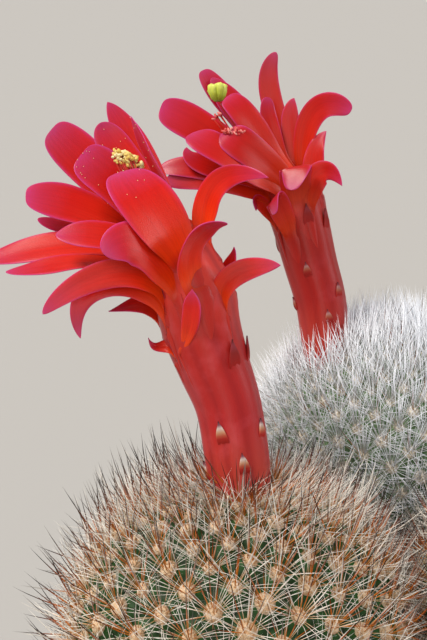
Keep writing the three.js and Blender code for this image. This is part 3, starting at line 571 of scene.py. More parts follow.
heads = {
    "front": {
        "x": -21, "y": -25, "equator": 111, "radius": 28, "crown": 27.5, "turn": 0.6, "areoleArea": 34,
        "parting": 1.1, "dip": 3.0, "node": "front_stem", "slot": "green_flesh",
        "flesh": greenFlesh, "wool": peachWool, "spine": hornSpine,
        "grid": (112, 170), "tubercle": 1.7, "pad": (1.8, 1.55, 1.1),
        "radials": {"shape": "slim", "count": 25, "length": 7.8, "lean": 74, "browning": 0.14, "warmth": 0.05,
                    "spreadOut": 9, "comb": 0.22},
        "centrals": {"shape": "stout", "count": 6, "length": 10.2, "lean": 36, "browning": 0.82,
                     "warmth": 0.2, "spreadOut": 15, "comb": 0},
    },
    "back": {
        "x": 11.5, "y": 32, "equator": 122, "radius": 26.5, "crown": 26, "turn": 2.1, "areoleArea": 23,
        "parting": 0, "dip": 0, "node": "back_stem", "slot": "pale_flesh",
        "flesh": paleFlesh, "wool": creamWool, "spine": whiteSpine,
        "grid": (92, 140), "tubercle": 1.2, "pad": (1.35, 1.25, 0.95),
        "radials": {"shape": "fine", "count": 28, "length": 6.6, "lean": 70, "browning": 0.0, "warmth": 0.0,
                    "spreadOut": 12, "comb": 0.1},
        "centrals": {"shape": "fine", "count": 19, "length": 8.8, "lean": 38, "browning": 0.04,
                     "warmth": 0.02, "spreadOut": 17, "comb": 0},
    },
    "right": {
        "x": 33, "y": -15, "equator": 111, "radius": 23, "crown": 23, "turn": 4.0, "areoleArea": 34,
        "parting": 0, "dip": 0, "node": "right_stem", "slot": "green_flesh",
        "flesh": greenFlesh, "wool": peachWool, "spine": hornSpine,
        "grid": (90, 130), "tubercle": 1.6, "pad": (1.8, 1.55, 1.1),
        "radials": {"shape": "fine", "count": 26, "length": 7.6, "lean": 74, "browning": 0.3, "warmth": 0.1,
                    "spreadOut": 9, "comb": 0.2},
        "centrals": {"shape": "stout", "count": 6, "length": 10.2, "lean": 36, "browning": 0.8, "warmth": 0.3,
                     "spreadOut": 15, "comb": 0},
    },
}


def headRadius(head, z):
    up = np.asarray(z, float) - head["equator"]
    dome = head["radius"] * np.sqrt(np.clip(1 - (up / head["crown"]) ** 2, 0, 1))
    side = head["radius"] * (1 - headShape["taper"] * (up / (head["equator"] - soilTop)) ** 2)
    return np.where(up > 0, dome, side)


def headNormal(head, points):
    out = np.stack([(points[:, 0] - head["x"]) / head["radius"], (points[:, 1] - head["y"]) / head["radius"],
                    np.clip(points[:, 2] - head["equator"], 0, None) / head["crown"]], 1)
    return unit(out)


def areoleArea(head, z):
    # young areoles near the crown stand closer
    up = np.clip((np.asarray(z, float) - head["equator"]) / head["crown"], 0, 1)
    return head["areoleArea"] * (1 - headShape["crowding"] * up ** 2)


def flowerFoot(head):
    return np.array([head["x"], head["y"]]) + headShape["flowerFoot"]


def settle(head, points):
    # the crown sinks a little around the foot of the flower
    apart = (points[:, :2] - flowerFoot(head)) / headShape["dipWidth"]
    points[:, 2] -= head["dip"] * np.exp(-(apart ** 2).sum(1))
    return points


def findAreoles(head):
    # one spiral down the head, each areole with its share of the surface
    step = headShape["step"]
    z = np.arange(head["equator"] + head["crown"], soilTop + 2.5, -step)
    r = headRadius(head, z)
    order = np.cumsum(2 * np.pi * r * np.hypot(step, np.gradient(r)) / areoleArea(head, z))
    height = np.interp(np.arange(0.6, order[-1]), order, z)
    angle = head["turn"] + goldenTurn * np.arange(len(height))
    r = headRadius(head, height)
    return settle(head, np.stack([head["x"] + r * np.cos(angle), head["y"] + r * np.sin(angle), height], 1))


def makeBody(name, head, areoles):
    # a grid round the head, raised to a tubercle at every areole
    rows, columns = head["grid"]
    top = head["equator"] + head["crown"]
    z = np.arange(top, soilTop - headShape["buried"], -headShape["step"])
    r = headRadius(head, z)
    run = np.concatenate([[0], np.cumsum(np.hypot(np.diff(z), np.diff(r)))])
    height = np.interp(np.linspace(0.4, run[-1], rows), run, z)
    angle = np.linspace(0, 2 * np.pi, columns, endpoint=False)
    r = headRadius(head, height)
    points = np.stack([head["x"] + r[:, None] * np.cos(angle), head["y"] + r[:, None] * np.sin(angle),
                       np.repeat(height[:, None], columns, 1)], -1).reshape(-1, 3)
    points = np.vstack([points, [[head["x"], head["y"], top], [head["x"], head["y"], height[-1]]]])
    normals = headNormal(head, points)
    normals[-1] = (0, 0, -1)
    points = settle(head, points)
    spacing = np.sqrt(areoleArea(head, points[:, 2]) * 1.1547)  # as in a grid of triangles
    nearest = np.empty((len(points), 2))
    for i in range(0, len(points), 4000):
        apart = np.linalg.norm(points[i:i + 4000, None] - areoles[None], axis=2)
        nearest[i:i + 4000] = np.partition(apart, 1, axis=1)[:, :2]
    cell = np.clip((nearest[:, 1] - nearest[:, 0]) / (0.75 * spacing), 0, 1)
    rise = np.sqrt(cell) * np.clip(1 - (nearest[:, 0] / spacing) ** 2, 0, 1)
    rise = np.where(points[:, 2] < soilTop + 2, 0.4, rise)
    height = head["tubercle"] * spacing / spacing.max()
    points = points + normals * (height * (rise - 0.85))[:, None]
    faces = sheetFaces(rows, columns, True) + capFaces(rows, columns, len(points) - 2, len(points) - 1)
    piece = meshPiece(name, points, [tuple(reversed(f)) for f in faces], {"rise": rise})
    return finishPiece(piece, head["flesh"], head["slot"], head["node"])


def insideOthers(head, points):
    # which points lie in another head or in the soil
    hit = np.zeros(points.shape[:-1], bool)
    for other in heads.values():
        if other is head:
            continue
        reach = np.hypot(points[..., 0] - other["x"], points[..., 1] - other["y"])
        isBelowTop = points[..., 2] < other["equator"] + other["crown"]
        hit |= (reach < headRadius(other, points[..., 2]) + 0.6) & isBelowTop
    return hit | (points[..., 2] < soilTop + 1)


def leanAway(root, direction, length):
    # spines that would run into a flower's tube lean away from it
    for flower in flowers.values():
        for share in (1.0, 0.6, 1.0):
            at = root + direction * length[..., None] * share
            away = at[..., None, :] - flower["line"]
            apart = np.linalg.norm(away, axis=-1)
            nearest = apart.argmin(-1)[..., None]
            gap = np.take_along_axis(apart, nearest, -1)
            away = np.take_along_axis(away, nearest[..., None], -2)[..., 0, :]
            push = np.clip(flower["clear"] + 0.3 - gap, 0, 3)
            direction = unit(direction + away / gap * push / (length[..., None] * share))
    return direction


def spinesFor(head, areoles, label, seed):
    # roots, directions, bend directions, lengths, tints and shapes of every spine of one kind
    rng = np.random.default_rng(seed)
    recipe, start, isCentral = head[label], spineRoots[label], label == "centrals"
    count, n = recipe["count"], len(areoles)
    normal = headNormal(head, areoles)[:, None]
    upward = unit(np.array([0, 0, 1.0]) - normal * normal[..., 2:3])
    side = np.cross(normal, upward)
    turn = 2 * np.pi * (np.arange(count)[None] + 0.5) / count + rng.normal(0, 0.12, (n, count))
    turn += rng.uniform(0, 6, (n, 1))
    turn += recipe["comb"] * np.sin(2 * turn)  # radial spines crowd to the two sides like a comb
    if isCentral:
        turn = 2 * np.pi * np.arange(count)[None] / count + rng.normal(0, 0.35, (n, count))
    erect = np.clip(normal[..., 2], 0, 1)
    lean = np.radians(recipe["lean"] * (1 - 0.45 * erect) + rng.normal(0, recipe["spreadOut"], (n, count)))
    flat = upward * np.cos(turn)[..., None] + side * np.sin(turn)[..., None]
    direction = normal * np.cos(lean)[..., None] + flat * np.sin(lean)[..., None]
    direction = unit(direction + upward * start["rise"] + np.array([0, 0, 0.5]) * erect[..., None])
    fromFlower = areoles[:, :2] - flowerFoot(head)
    push = head["parting"] * np.exp(-(np.linalg.norm(fromFlower, axis=1) / headShape["partingWidth"]) ** 2)
    direction[..., :2] += (unit(fromFlower) * push[:, None])[:, None]
    direction = unit(direction)
    pad = head["pad"]
    root = areoles[:, None] + normal * start["up"] * pad[2] + flat * start["out"] * pad[1]
    length = recipe["length"] * rng.uniform(0.72, 1.12, (n, count)) * (1 + 0.12 * np.abs(np.sin(turn)))
    direction = leanAway(root, direction, length)
    for step in range(4):  # those that would end in another head grow shorter
        middles = root + direction * length[..., None] * 0.6
        isHit = insideOthers(head, root + direction * length[..., None]) | insideOthers(head, middles)
        length = np.where(isHit, length * 0.78, length)
    keep = ~insideOthers(head, root + direction * length[..., None]) & (length > 2.2)
    for flower in flowers.values():
        for share in (0.35, 0.7, 1.0):
            at = root + direction * length[..., None] * share
            keep &= np.linalg.norm(at[..., None, :] - flower["line"], axis=-1).min(-1) > flower["clear"]
    browning = recipe["browning"] * (1 if isCentral else 1 + 0.6 * np.cos(turn))
    isBrown = rng.uniform(0, 1, (n, count)) < browning
    tint = np.clip(np.where(isBrown, 0.92, recipe["warmth"]) + rng.normal(0, 0.1, (n, count)), 0, 1)
    bendWay = -normal - np.array([0, 0, 0.5]) * (1 - erect)[..., None]
    if isCentral:
        bendWay = upward * 0.9 + normal * 0.2
    bendWay = np.broadcast_to(bendWay, direction.shape)
    kinds = rng.integers(0, 3, keep.sum())
    return root[keep], direction[keep], bendWay[keep], length[keep], tint[keep], kinds


# petals, tubes and scales

petalSheet = {"thick": 0.5, "steps": 38, "columns": 15, "ripple": 0.14}
petalTail = {"long": 9, "short": 3, "rows": 7}  # how far a petal's foot runs on down the tube
scaleSheet = {"thick": 0.5, "steps": 16, "columns": 9, "ripple": 0.03}
scaleForm = {"width": 1.9, "blunt": 1.3, "cup": -0.35, "root": 0.7, "widest": 0.2, "large": 1.15}
tubeForm = {
    "rings": 90, "sides": 72, "ribs": 9, "ribDepth": 0.022, "twist": 0.35,
    "throat": ((0.5, 0.82), (-3.0, 0.6), (-7.0, 0.3)), "throatEnd": 8,  # a funnel down into the tube
}


def through(a, b, c, d, t):
    # a curve that passes its four points at 0, 1/3, 2/3 and 1
    t = t[:, None]
    return ((1 - 3 * t) * (2 - 3 * t) * (1 - t) / 2 * a + 9 * t * (2 - 3 * t) * (1 - t) / 2 * b
            + 9 * t * (3 * t - 1) * (1 - t) / 2 * c + t * (3 * t - 1) * (3 * t - 2) / 2 * d)


def hug(points, tube, share, offset):
    # moves points to just above or below the surface of the flower's tube, by a share of the way
    centre, way, radius = tube
    near = np.linalg.norm(points[:, None] - centre[None], axis=2).argmin(1)
    away = points - centre[near]
    lengthwise = (away * way[near]).sum(1, keepdims=True) * way[near]
    out = away - lengthwise
    size = np.linalg.norm(out, axis=1, keepdims=True)
    wanted = size * (1 - share) + (radius[near][:, None] + offset) * share
    return centre[near] + lengthwise + out / np.maximum(size, 0.1) * wanted


def bladeFaces(steps, columns):
    # an upper and an under sheet, closed along the edges
    n = steps * columns
    faces = sheetFaces(steps, columns)
    faces += [tuple(reversed([v + n for v in f])) for f in sheetFaces(steps, columns)]
    for i in range(steps - 1):
        a, b = i * columns, (i + 1) * columns - 1
        faces += [(a, a + columns, a + columns + n, a + n), (b + columns, b, b + n, b + columns + n)]
    for j in range(columns - 1):
        k = n - columns + j
        faces += [(j + 1, j, j + n, j + 1 + n), (k, k + 1, k + 1 + n, k + n)]
    return faces


def blade(line, width, inner, blunt, cup, root, widest, seed, sheet, tube=None, tail=0):
    # a thin cupped petal along its midline: points, faces and the values that its material reads
    rng = np.random.default_rng(seed)
    steps, columns, thick = sheet["steps"], sheet["columns"], sheet["thick"]
    t = 1 - (1 - np.linspace(0, 1, steps)) ** 1.8  # closer rows round off the tip
    middle = through(*line, t)
    along = unit(through(*line, t + 0.01) - through(*line, t - 0.01))
    past = np.clip((t - widest) / (1 - widest), 0, 1)
    swell = root + (1 - root) * np.sin(np.minimum(t / widest, 1) * np.pi / 2)
    half = np.maximum(width / 2 * swell * (1 - past ** 2) ** blunt, 0.08)
    ways = []
    for i in range(steps):
        inner = unit(inner - along[i] * (inner @ along[i]))
        ways.append(inner)
    ways = np.array(ways)
    if tail:  # the petal's foot runs on down the tube as a rib that fades into it
        more = petalTail["rows"]
        near = np.linalg.norm(tube[0] - middle[0], axis=1).argmin()
        down = np.linspace(1, 1 / more, more)[:, None]
        t = np.concatenate([-0.2 * down[:, 0], t])
        middle = np.vstack([middle[0] - tube[1][near] * tail * down, middle])
        half = np.concatenate([half[0] * (1 - 0.85 * down[:, 0] ** 2), half])
        along = np.vstack([np.repeat(tube[1][near][None], more, 0), along])
        ways = np.vstack([np.repeat(ways[:1], more, 0), ways])
        steps += more
    u = np.sin(np.linspace(-1, 1, columns) * np.pi / 2)
    phase = t[:, None] * rng.uniform(9, 14) + u * 1.5 + rng.uniform(0, 6)
    wave = sheet["ripple"] * np.sin(phase) * np.abs(u) ** 3
    groove = 0.2 * np.exp(-(u / 0.14) ** 2) * np.clip(1 - t[:, None], 0, 1)
    top, under = [], []
    for i in range(steps):
        inner = unit(ways[i] - along[i] * (ways[i] @ along[i]))
        across = np.cross(along[i], inner)
        far = max(t[i], 0)
        lift = u * u * half[i] * cup * (1 - 0.8 * far) + wave[i] * min(half[i], 2) / 2
        mid = middle[i] + across * (u * half[i])[:, None] + inner * lift[:, None]
        depth = (thick / 2) * (1 - 0.7 * u ** 6) * (1 - 0.6 * far ** 4)
        upper = mid + inner * (depth - groove[i] * 0.7)[:, None]
        lower = mid - inner * (depth + groove[i])[:, None]
        if tube:
            share = np.clip(1 - far / 0.3, 0, 1) ** 1.5
            near = np.linalg.norm(tube[0] - middle[i], axis=1).argmin()
            isInnerOut = inner @ (middle[i] - tube[0][near]) > 0
            sink = -0.5 * np.clip(-t[i] / 0.2, 0, 1) - 0.25 * np.abs(u)[:, None] ** 2
            upper = hug(upper, tube, share, (0.3 if isInnerOut else -0.4) + sink)
            lower = hug(lower, tube, share, (-0.4 if isInnerOut else 0.3) + sink)
        top.append(upper)
        under.append(lower)
    n = steps * columns
    values = {
        "along": np.tile(np.repeat(np.clip(t, 0, 1), columns), 2), "across": np.tile(np.tile(u, steps), 2),
        "inner": np.repeat([1.0, 0.0], n), "seed": np.full(2 * n, rng.uniform()),
    }
    return np.array(top + under).reshape(-1, 3), bladeFaces(steps, columns), values


def radiiAlong(flower, count):
    # the tube's radius at evenly spaced places along it
    radii = flower["radii"]
    return np.interp(np.linspace(0, 1, count), np.linspace(0, 1, len(radii)), radii)


def makeTepals(name, flower):
    parts = []
    origin = place(flower, (0, 0, 0))
    centre = flower["line"]
    tube = (centre, unit(np.gradient(centre, axis=0)), radiiAlong(flower, len(centre)))
    rim = flower["axis"][-1][2]
    for k, (a, b, c, d, width, face, blunt, cup, root, widest) in enumerate(flower["tepals"]):
        line = [place(flower, p) for p in (a, b, c, d)]
        tail = petalTail["long" if a[2] < rim - 2 else "short"]
        parts.append(blade(line, width, place(flower, face) - origin, blunt, cup, root, widest, 100 + k,
                           petalSheet, tube, tail))
    piece = joined(name, parts)
    recalculate(piece)
    return finishPiece(piece, petalSkins[flower["skin"]], "red_petal", flower["node"])


def makeTubePiece(name, flower):
    # a bent, softly ribbed tube with an open throat
    rings, sides = tubeForm["rings"], tubeForm["sides"]
    radii = np.convolve(np.pad(radiiAlong(flower, rings), 4, "edge"), np.ones(9) / 9, "valid")
    centre = place(flower, smoothLine(flower["axis"], rings))
    along = unit(np.gradient(centre, axis=0))
    side = unit(np.array([1.0, 0, 0]) - along * along[:, :1])
    other = np.cross(along, side)
    angle = np.linspace(0, 2 * np.pi, sides, endpoint=False)
    share = np.linspace(0, 1, rings)
    turn = tubeForm["ribs"] * (angle[None] + tubeForm["twist"] * share[:, None])
    ribs = np.cos(turn + 0.8 * np.sin(3 * angle[None]))
    r = radii[:, None] * (1 + tubeForm["ribDepth"] * ribs * (0.4 + 0.6 * share[:, None]))
    ring = side[:, None] * np.cos(angle)[None, :, None] + other[:, None] * np.sin(angle)[None, :, None]
    points = centre[:, None] + r[..., None] * ring
    rows = [points.reshape(-1, 3)]
    stripes, shares = [(np.clip(-ribs, 0, 1) ** 2).ravel()], [np.repeat(share, sides)]
    for sink, narrow in tubeForm["throat"]:
        rows.append(centre[-1] + along[-1] * sink + (points[-1] - centre[-1]) * narrow)
        stripes.append(np.zeros(sides))
        shares.append(np.ones(sides))
    total = rings + len(tubeForm["throat"])
    points = np.vstack(rows + [[centre[0]], [centre[-1] - along[-1] * tubeForm["throatEnd"]]])
    faces = sheetFaces(total, sides, True) + capFaces(total, sides, total * sides, total * sides + 1)
    values = {"stripe": np.concatenate(stripes + [[0, 0]]), "along": np.concatenate(shares + [[0, 1]])}
    piece = meshPiece(name, points, faces, values)
    recalculate(piece)
    return finishPiece(piece, tubeSkins[flower["skin"]], "red_petal", flower["node"])


def makeTubeScales(name, flower, seed):
    # small triangular scales on the tube, pressed to it, each with a dry pointed tip
    axis = np.array(flower["axis"], float)
    origin = place(flower, (0, 0, 0))
    parts = []
    for k, (up, turn, size) in enumerate(flower["scales"]):
        middle = np.array([np.interp(up, axis[:, 2], axis[:, 0]), 0, up])
        radius = np.interp(up, axis[:, 2], flower["radii"])
        out = np.array([math.cos(math.radians(turn)), math.sin(math.radians(turn)), 0])
        steps = ((-0.7, -1.6), (0.05, -0.4), (0.3 * size, 0.8), (0.5 * size, 2.0))  # out from the tube, up it
        line = [middle + out * (radius + o) + np.array([-0.2, 0, 1]) * l * size for o, l in steps]
        form = [scaleForm[key] for key in ("blunt", "cup", "root", "widest")]
        points, faces, values = blade(
            [place(flower, p) for p in line], scaleForm["width"] * size ** 0.7, place(flower, -out) - origin,
            *form, seed + k, scaleSheet)
        isLarge = size > scaleForm["large"]
        values["pale"] = np.full(len(points), 0.0 if isLarge else flower["paleScales"])
        parts.append((points, faces, values))
    piece = joined(name, parts)
    recalculate(piece)
    return finishPiece(piece, scaleSkin, "red_petal")


# stamens and stigma

threadForm = {"foot": 0.2, "tip": 0.13, "rows": 10, "sides": 6}


def rodAlong(points, radii, sides, ends=(0, 1)):
    # a round closed stalk through the points
    points = np.asarray(points, float)
    along = unit(np.gradient(points, axis=0))
    side = unit(np.cross(along, [0.3, 1, 0.2]))
    other = np.cross(along, side)
    angle = np.linspace(0, 2 * np.pi, sides, endpoint=False)
    ring = side[:, None] * np.cos(angle)[None, :, None] + other[:, None] * np.sin(angle)[None, :, None]
    made = (points[:, None] + ring * np.asarray(radii)[:, None, None]).reshape(-1, 3)
    made = np.vstack([made, points[:1], points[-1:]])
    n = len(points)
    faces = sheetFaces(n, sides, True) + capFaces(n, sides, n * sides, n * sides + 1)
    return made, faces, {"along": np.append(np.repeat(np.linspace(*ends, n), sides), ends)}


def makeStamens(name, flower, bunch, seed, material):
    # a bunch of pollen sacs, each second one on its own thin stalk from the throat
    rng = np.random.default_rng(seed)
    count, rows = bunch["count"], threadForm["rows"]
    spots = rng.normal(size=(count, 3))
    spots = unit(spots) * rng.uniform(0.3, 1, (count, 1)) ** 0.4 * bunch["half"]
    s, c = math.sin(math.radians(bunch["tilt"])), math.cos(math.radians(bunch["tilt"]))
    spots = np.stack([spots[:, 0] * c - spots[:, 2] * s, spots[:, 1], spots[:, 0] * s + spots[:, 2] * c], 1)
    spots = place(flower, spots + bunch["middle"])
    sizes = np.array(bunch["sac"]) * rng.uniform(0.8, 1.15, (count, 1))
    sacs = brush(f"{name}Sacs", spots, unit(rng.normal(size=(count, 3))), rng.normal(size=(count, 3)), sizes,
                 rng.uniform(0, 1, count), rng.integers(0, 3, count), sacLumps, material)
    throat = place(flower, bunch["throat"])
    stalks = []
    for spot in spots[::2]:
        start = throat + rng.normal(0, 0.8, 3) * (1, 0.6, 0.3)
        bend = (start + spot) / 2 + rng.normal(0, 0.5, 3)
        radii = np.linspace(threadForm["foot"], threadForm["tip"], rows)
        stalks.append(rodAlong(smoothLine([start, bend, spot], rows), radii, threadForm["sides"]))
    threads = joined(f"{name}Threads", stalks)
    recalculate(threads)
    return sacs, threads


def makeStigma(name, flower, shape):
    # finger-like lobes that stand in a ring, rough with fine grains
    rng = np.random.default_rng(8)
    parts = []
    for k in range(shape["lobes"] + 1):
        isMiddle = k == shape["lobes"]
        angle = 2 * math.pi * k / shape["lobes"] + 0.4
        out = np.array([math.cos(angle), math.sin(angle), 0]) * (0 if isMiddle else 1)
        foot = np.array(shape["middle"]) + out * 0.35 - (0, 0, shape["height"])
        tip = np.array(shape["middle"]) + out * (shape["spread"] + rng.uniform(-0.2, 0.3))
        tip = tip + (0, 0, shape["height"] - rng.uniform(0.2, 1))
        line = smoothLine([foot, (foot + tip) / 2 + out * 0.45, tip], shape["rows"])
        share = np.linspace(0, 1, shape["rows"])
        radii = shape["lobe"] * (0.55 + 0.45 * share) * np.sqrt(np.clip(1 - (share * 2 - 1) ** 6, 0.02, 1))
        points, faces, values = rodAlong(place(flower, line), radii, shape["sides"])
        parts.append((points + rng.normal(0, shape["grain"], points.shape), faces, values))
    piece = joined(name, parts)
    recalculate(piece)
    return piece


# pot and soil

pot = {"height": 75, "rim": 71, "band": 60, "bandFoot": 68, "foot": 50, "wall": 4.5, "floor": 6,
       "rounding": 1.6, "drains": 3, "drain": 5, "drainRing": 26, "sides": 144}


def potInside(z):
    return pot["foot"] + (pot["bandFoot"] - pot["foot"]) * min(z, pot["band"]) / pot["band"] - pot["wall"]


def lathe(name, profile, sides):
    # a closed turned solid from (radius, height) pairs that start and end on the axis
    angle = np.linspace(0, 2 * np.pi, sides, endpoint=False)
    rings = profile[1:-1]
    points = [(r * math.cos(a), r * math.sin(a), z) for r, z in rings for a in angle]
    points += [(0, 0, profile[0][1]), (0, 0, profile[-1][1])]
    count = len(rings)
    faces = sheetFaces(count, sides, True) + capFaces(count, sides, count * sides, count * sides + 1)
    return meshPiece(name, points, faces)


def rounded(corners, radius, steps=4):
    # each inner corner of a profile becomes a short curve
    made = [corners[0]]
    for before, corner, after in zip(corners, corners[1:], corners[2:]):
        before, corner, after = map(np.array, (before, corner, after))
        reach = min(radius, 0.45 * np.linalg.norm(before - corner), 0.45 * np.linalg.norm(after - corner))
        a = corner + unit((before - corner).astype(float)) * reach
        b = corner + unit((after - corner).astype(float)) * reach
        for t in np.linspace(0, 1, steps):
            made.append(tuple((1 - t) ** 2 * a + 2 * t * (1 - t) * corner + t * t * b))
    return made + [corners[-1]]


def makePot():
    band, rim, top = pot["band"], pot["rim"], pot["height"]
    profile = rounded([
        (0, 0), (pot["foot"], 0), (pot["bandFoot"], band), (rim, band), (rim, top), (rim - pot["wall"], top),
        (potInside(band), band), (potInside(pot["floor"]), pot["floor"]), (0, pot["floor"])], pot["rounding"])
    piece = lathe("clayPot", profile, pot["sides"])
    for i in range(pot["drains"]):
        angle = 2 * math.pi * (i + 0.5) / pot["drains"]
        cutter = lathe("drainCutter", [(0, -2), (pot["drain"], -2), (pot["drain"], 9), (0, 9)], 40)
        x, y = pot["drainRing"] * math.cos(angle), pot["drainRing"] * math.sin(angle)
        cutter.location = (x * mm, y * mm, 0)
        modifier = piece.modifiers.new("drain", "BOOLEAN")
        modifier.object, modifier.operation, modifier.solver = cutter, "DIFFERENCE", "EXACT"
        bake(piece)
        bpy.data.objects.remove(cutter)
    return piece


# stage, lights and camera

stage = {"floorSize": 16000, "floorColour": "#acaaa6", "roomColour": "#f2f3f5", "roomStrength": 0.36}
view = {"lens": 82.97, "sensor": 36, "place": (-25.5, -252.4, 228.1), "lean": 75}
lamps = {  # where each lamp stands seen from the plant, its strength, its width in degrees, its colour
    "key": ((-0.75, -0.2, 1.2), 3.3, 22, "#fff8f0"),
    "edge": ((0.95, -0.1, 0.5), 1.1, 30, "#f6f8ff"),
    "fill": ((-0.1, -1.0, 0.35), 0.9, 50, "#fffaf4"),
}

floorMaterial, floorTree, floorShader = startMaterial("paleStudioFloor")
setInputs(floorTree, floorShader, {"Base Color": linear(stage["floorColour"]), "Roughness": 0.85})
far = stage["floorSize"]
floor = meshPiece("floor", [(-far, -far, 0), (far, -far, 0), (far, far, 0), (-far, far, 0)], [(0, 1, 2, 3)],
                  isSmooth=False)
floor.data.materials.append(floorMaterial)

world = bpy.data.worlds.new("softRoom")
bpy.context.scene.world = world
world.use_nodes = True
setInputs(world.node_tree, world.node_tree.nodes["Background"], {
    "Color": linear(stage["roomColour"]), "Strength": stage["roomStrength"]})

for lampName, (way, power, width, colour) in lamps.items():
    lamp = bpy.data.lights.new(lampName, "SUN")
    lamp.energy, lamp.angle, lamp.color = power, math.radians(width), linear(colour)[:3]
    holder = bpy.data.objects.new(lampName, lamp)
    holder.location = Vector(way)
    holder.rotation_euler = (-Vector(way)).to_track_quat("-Z", "Y").to_euler()
    bpy.context.collection.objects.link(holder)

cameraData = bpy.data.cameras.new("camera")
cameraData.lens, cameraData.sensor_width, cameraData.clip_start = view["lens"], view["sensor"], 0.01
camera = bpy.data.objects.new("camera", cameraData)
camera.location = Vector(view["place"]) * mm
camera.rotation_euler = (math.radians(view["lean"]), 0, 0)
bpy.context.collection.objects.link(camera)
bpy.context.scene.camera = camera
bpy.context.scene.view_settings.view_transform = "Standard"
print("stage ready")


# every piece, from the heads on

woolLumps = makeLumps("woolLump", 3, 5, 0.1)

for key, head in heads.items():
    areoles = findAreoles(head)
    makeBody(f"{key}Body", head, areoles)
    normal = headNormal(head, areoles)
    upward = unit(np.array([0, 0, 1.0]) - normal * normal[:, 2:3])
    rng = np.random.default_rng(len(areoles))
    pads = np.array(head["pad"]) * rng.uniform(0.85, 1.15, (len(areoles), 1))
    pads *= (areoleArea(head, areoles[:, 2]) / head["areoleArea"])[:, None] ** 0.4
    wool = brush(f"{key}Wool", areoles + normal * 0.2, normal, upward, pads, np.zeros(len(areoles)),
                 rng.integers(0, 3, len(areoles)), woolLumps, head["wool"])
    finishPiece(wool, head["wool"], head["slot"])
    for label, seed in (("radials", 7), ("centrals", 8)):
        root, way, bendWay, length, tint, kinds = spinesFor(head, areoles, label, seed)
        spines = brush(f"{key}{label.capitalize()}", root, way, bendWay, np.repeat(length[:, None], 3, 1),
                       tint, kinds, spineShapes[head[label]["shape"]], head["spine"])
        finishPiece(spines, head["spine"], head["slot"])
        print(key, label, len(areoles), "areoles", len(root), "spines,", len(spines.data.polygons), "faces")
print("heads ready")

for key, flower in flowers.items():
    makeTepals(f"{key}Tepals", flower)
    makeTubePiece(f"{key}Tube", flower)
    makeTubeScales(f"{key}TubeScales", flower, 300)
print("flowers ready")

potPiece = makePot()
finishPiece(potPiece, clay, "terracotta", "pot")

# the soil bed, whose top heaves gently between its grains
bed = {"gap": 0.4, "underside": pot["floor"] + 0.3, "rings": 34, "sides": 96, "heave": 0.5, "grain": 0.25}
soilEdge = potInside(pot["band"]) - bed["gap"]
rings = [0] + list(np.linspace(2, soilEdge, bed["rings"]))
rng = np.random.default_rng(3)
soilProfile = [(0, bed["underside"]), (potInside(pot["floor"]) - bed["gap"], bed["underside"]),
               (soilEdge, pot["band"])]
soilProfile += [(r, soilTop - 0.6) for r in reversed(rings)]
soil = lathe("soilBed", soilProfile, bed["sides"])
lumps = np.array([v.co for v in soil.data.vertices]) / mm
isTop = lumps[:, 2] > soilTop - 2
swell = bed["heave"] * np.sin(lumps[isTop, 0] * 0.31 + 1) * np.sin(lumps[isTop, 1] * 0.27)
lumps[isTop, 2] += swell + rng.uniform(-bed["grain"], bed["grain"], isTop.sum())
soil.data.vertices.foreach_set("co", (lumps * mm).ravel())
tints = rng.uniform(0, 0.5, len(lumps)).astype(np.float32)
soil.data.attributes.new("tint", "FLOAT", "POINT").data.foreach_set("value", tints)
finishPiece(soil, stone, "grit", "soil")

# grit chips on the bed, where no head stands, their median size as a logarithm
grit = {"count": 3000, "median": -0.15, "variety": 0.35, "smallest": 0.4, "largest": 1.7}
count = grit["count"]
r = soilEdge * np.sqrt(rng.uniform(0, 0.985, count))
angle = rng.uniform(0, 2 * np.pi, count)
height = np.full(count, soilTop - 0.3) + rng.uniform(-0.3, 0.4, count)
spots = np.stack([r * np.cos(angle), r * np.sin(angle), height], 1)
free = np.ones(count, bool)
for head in heads.values():
    free &= np.hypot(spots[:, 0] - head["x"], spots[:, 1] - head["y"]) > headRadius(head, soilTop) - 1
spots = spots[free]
sizes = rng.lognormal(grit["median"], grit["variety"], (len(spots), 1))
sizes = sizes.clip(grit["smallest"], grit["largest"]) * rng.uniform(0.7, 1.2, (len(spots), 3))
grains = brush("grit", spots, unit(rng.normal(size=spots.shape)), rng.normal(size=spots.shape), sizes,
               rng.uniform(0, 1, len(spots)), rng.integers(0, 5, len(spots)),
               makeLumps("gritChip", 5, 11, 0.3, isStone=True), stone)
grains.data.polygons.foreach_set("use_smooth", [False] * len(grains.data.polygons))
finishPiece(grains, stone, "grit")
print("pot and soil ready")

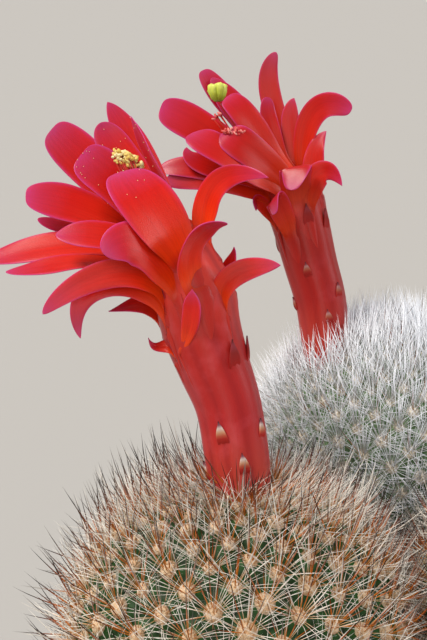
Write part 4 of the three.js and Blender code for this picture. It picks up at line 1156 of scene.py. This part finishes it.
# bunches of sacs in a flower's own frame: where, how wide, how tilted, how many
sacLumps = makeLumps("sac", 3, 21, 0.1)
bunches = {
    "front": {"middle": (-19.5, 2.5, 57.5), "half": (3.0, 1.3, 1.2), "tilt": -24, "count": 95,
              "sac": (0.34, 0.3, 0.52), "throat": (-10.5, 1, 37)},
    "back": {"middle": (-18.6, 9.5, 38.5), "half": (2.2, 0.8, 0.6), "tilt": -5, "count": 34,
             "sac": (0.24, 0.2, 0.6), "throat": (-7.5, 1, 25)},
    "backHigh": {"middle": (-21.8, 5, 42.2), "half": (1.0, 0.6, 0.5), "tilt": 25, "count": 10,
                 "sac": (0.24, 0.2, 0.6), "throat": (-7.5, 1, 25)},
}
for key, bunch in bunches.items():
    isFront = key == "front"
    flower, skin = (flowers["front"], pollen) if isFront else (flowers["back"], spent)
    sacs, threads = makeStamens(f"{key}Stamen", flower, bunch, 40 + len(key), skin)
    finishPiece(sacs, skin, "pollen" if isFront else "red_petal", *(["front_anthers"] * isFront))
    finishPiece(threads, tubeSkins["front"], "red_petal")
    threads.data.attributes.new("stripe", "FLOAT", "POINT")

# grains of pollen that fell on the nearest petals
dust = {"count": 40, "reach": 10, "grain": 0.075, "tint": 0.8}
tepals = bpy.data.objects["frontTepals"].data
spots = np.array([v.co for v in tepals.vertices]) / mm
isInner = np.array([value.value for value in tepals.attributes["inner"].data]) > 0.5
outward = np.array([v.normal for v in tepals.vertices])
fromBunch = np.linalg.norm(spots - place(flowers["front"], bunches["front"]["middle"]), axis=1)
isFlat = np.abs([value.value for value in tepals.attributes["across"].data]) < 0.85
near = np.flatnonzero(isInner & isFlat & (fromBunch < dust["reach"]))
near = np.random.default_rng(12).choice(near, dust["count"], replace=False)
grains = brush("pollenDust", spots[near] + outward[near] * 0.05, outward[near], np.roll(outward[near], 1, 1),
               np.full((len(near), 3), dust["grain"]), np.full(len(near), dust["tint"]), np.zeros(len(near)),
               sacLumps, pollen)
finishPiece(grains, pollen, "pollen")

stigma = {"middle": (-21.5, 1, 47.7), "lobes": 7, "lobe": 0.85, "height": 2.0, "spread": 1.0, "grain": 0.05,
          "rows": 14, "sides": 14}
finishPiece(makeStigma("stigma", flowers["back"], stigma), lime, "stigma_lime", "back_stigma")

stalk = {"line": [(-7.5, 1, 25), (-13.5, 0, 36), (-20.6, 1, 45.6)], "radius": 0.62, "rows": 24, "sides": 12}
line = place(flowers["back"], smoothLine(stalk["line"], stalk["rows"]))
style = joined("style", [rodAlong(line, np.full(stalk["rows"], stalk["radius"]), stalk["sides"])])
recalculate(style)
finishPiece(style, tubeSkins["front"], "red_petal")
style.data.attributes.new("stripe", "FLOAT", "POINT")
print("stamens and stigma ready")
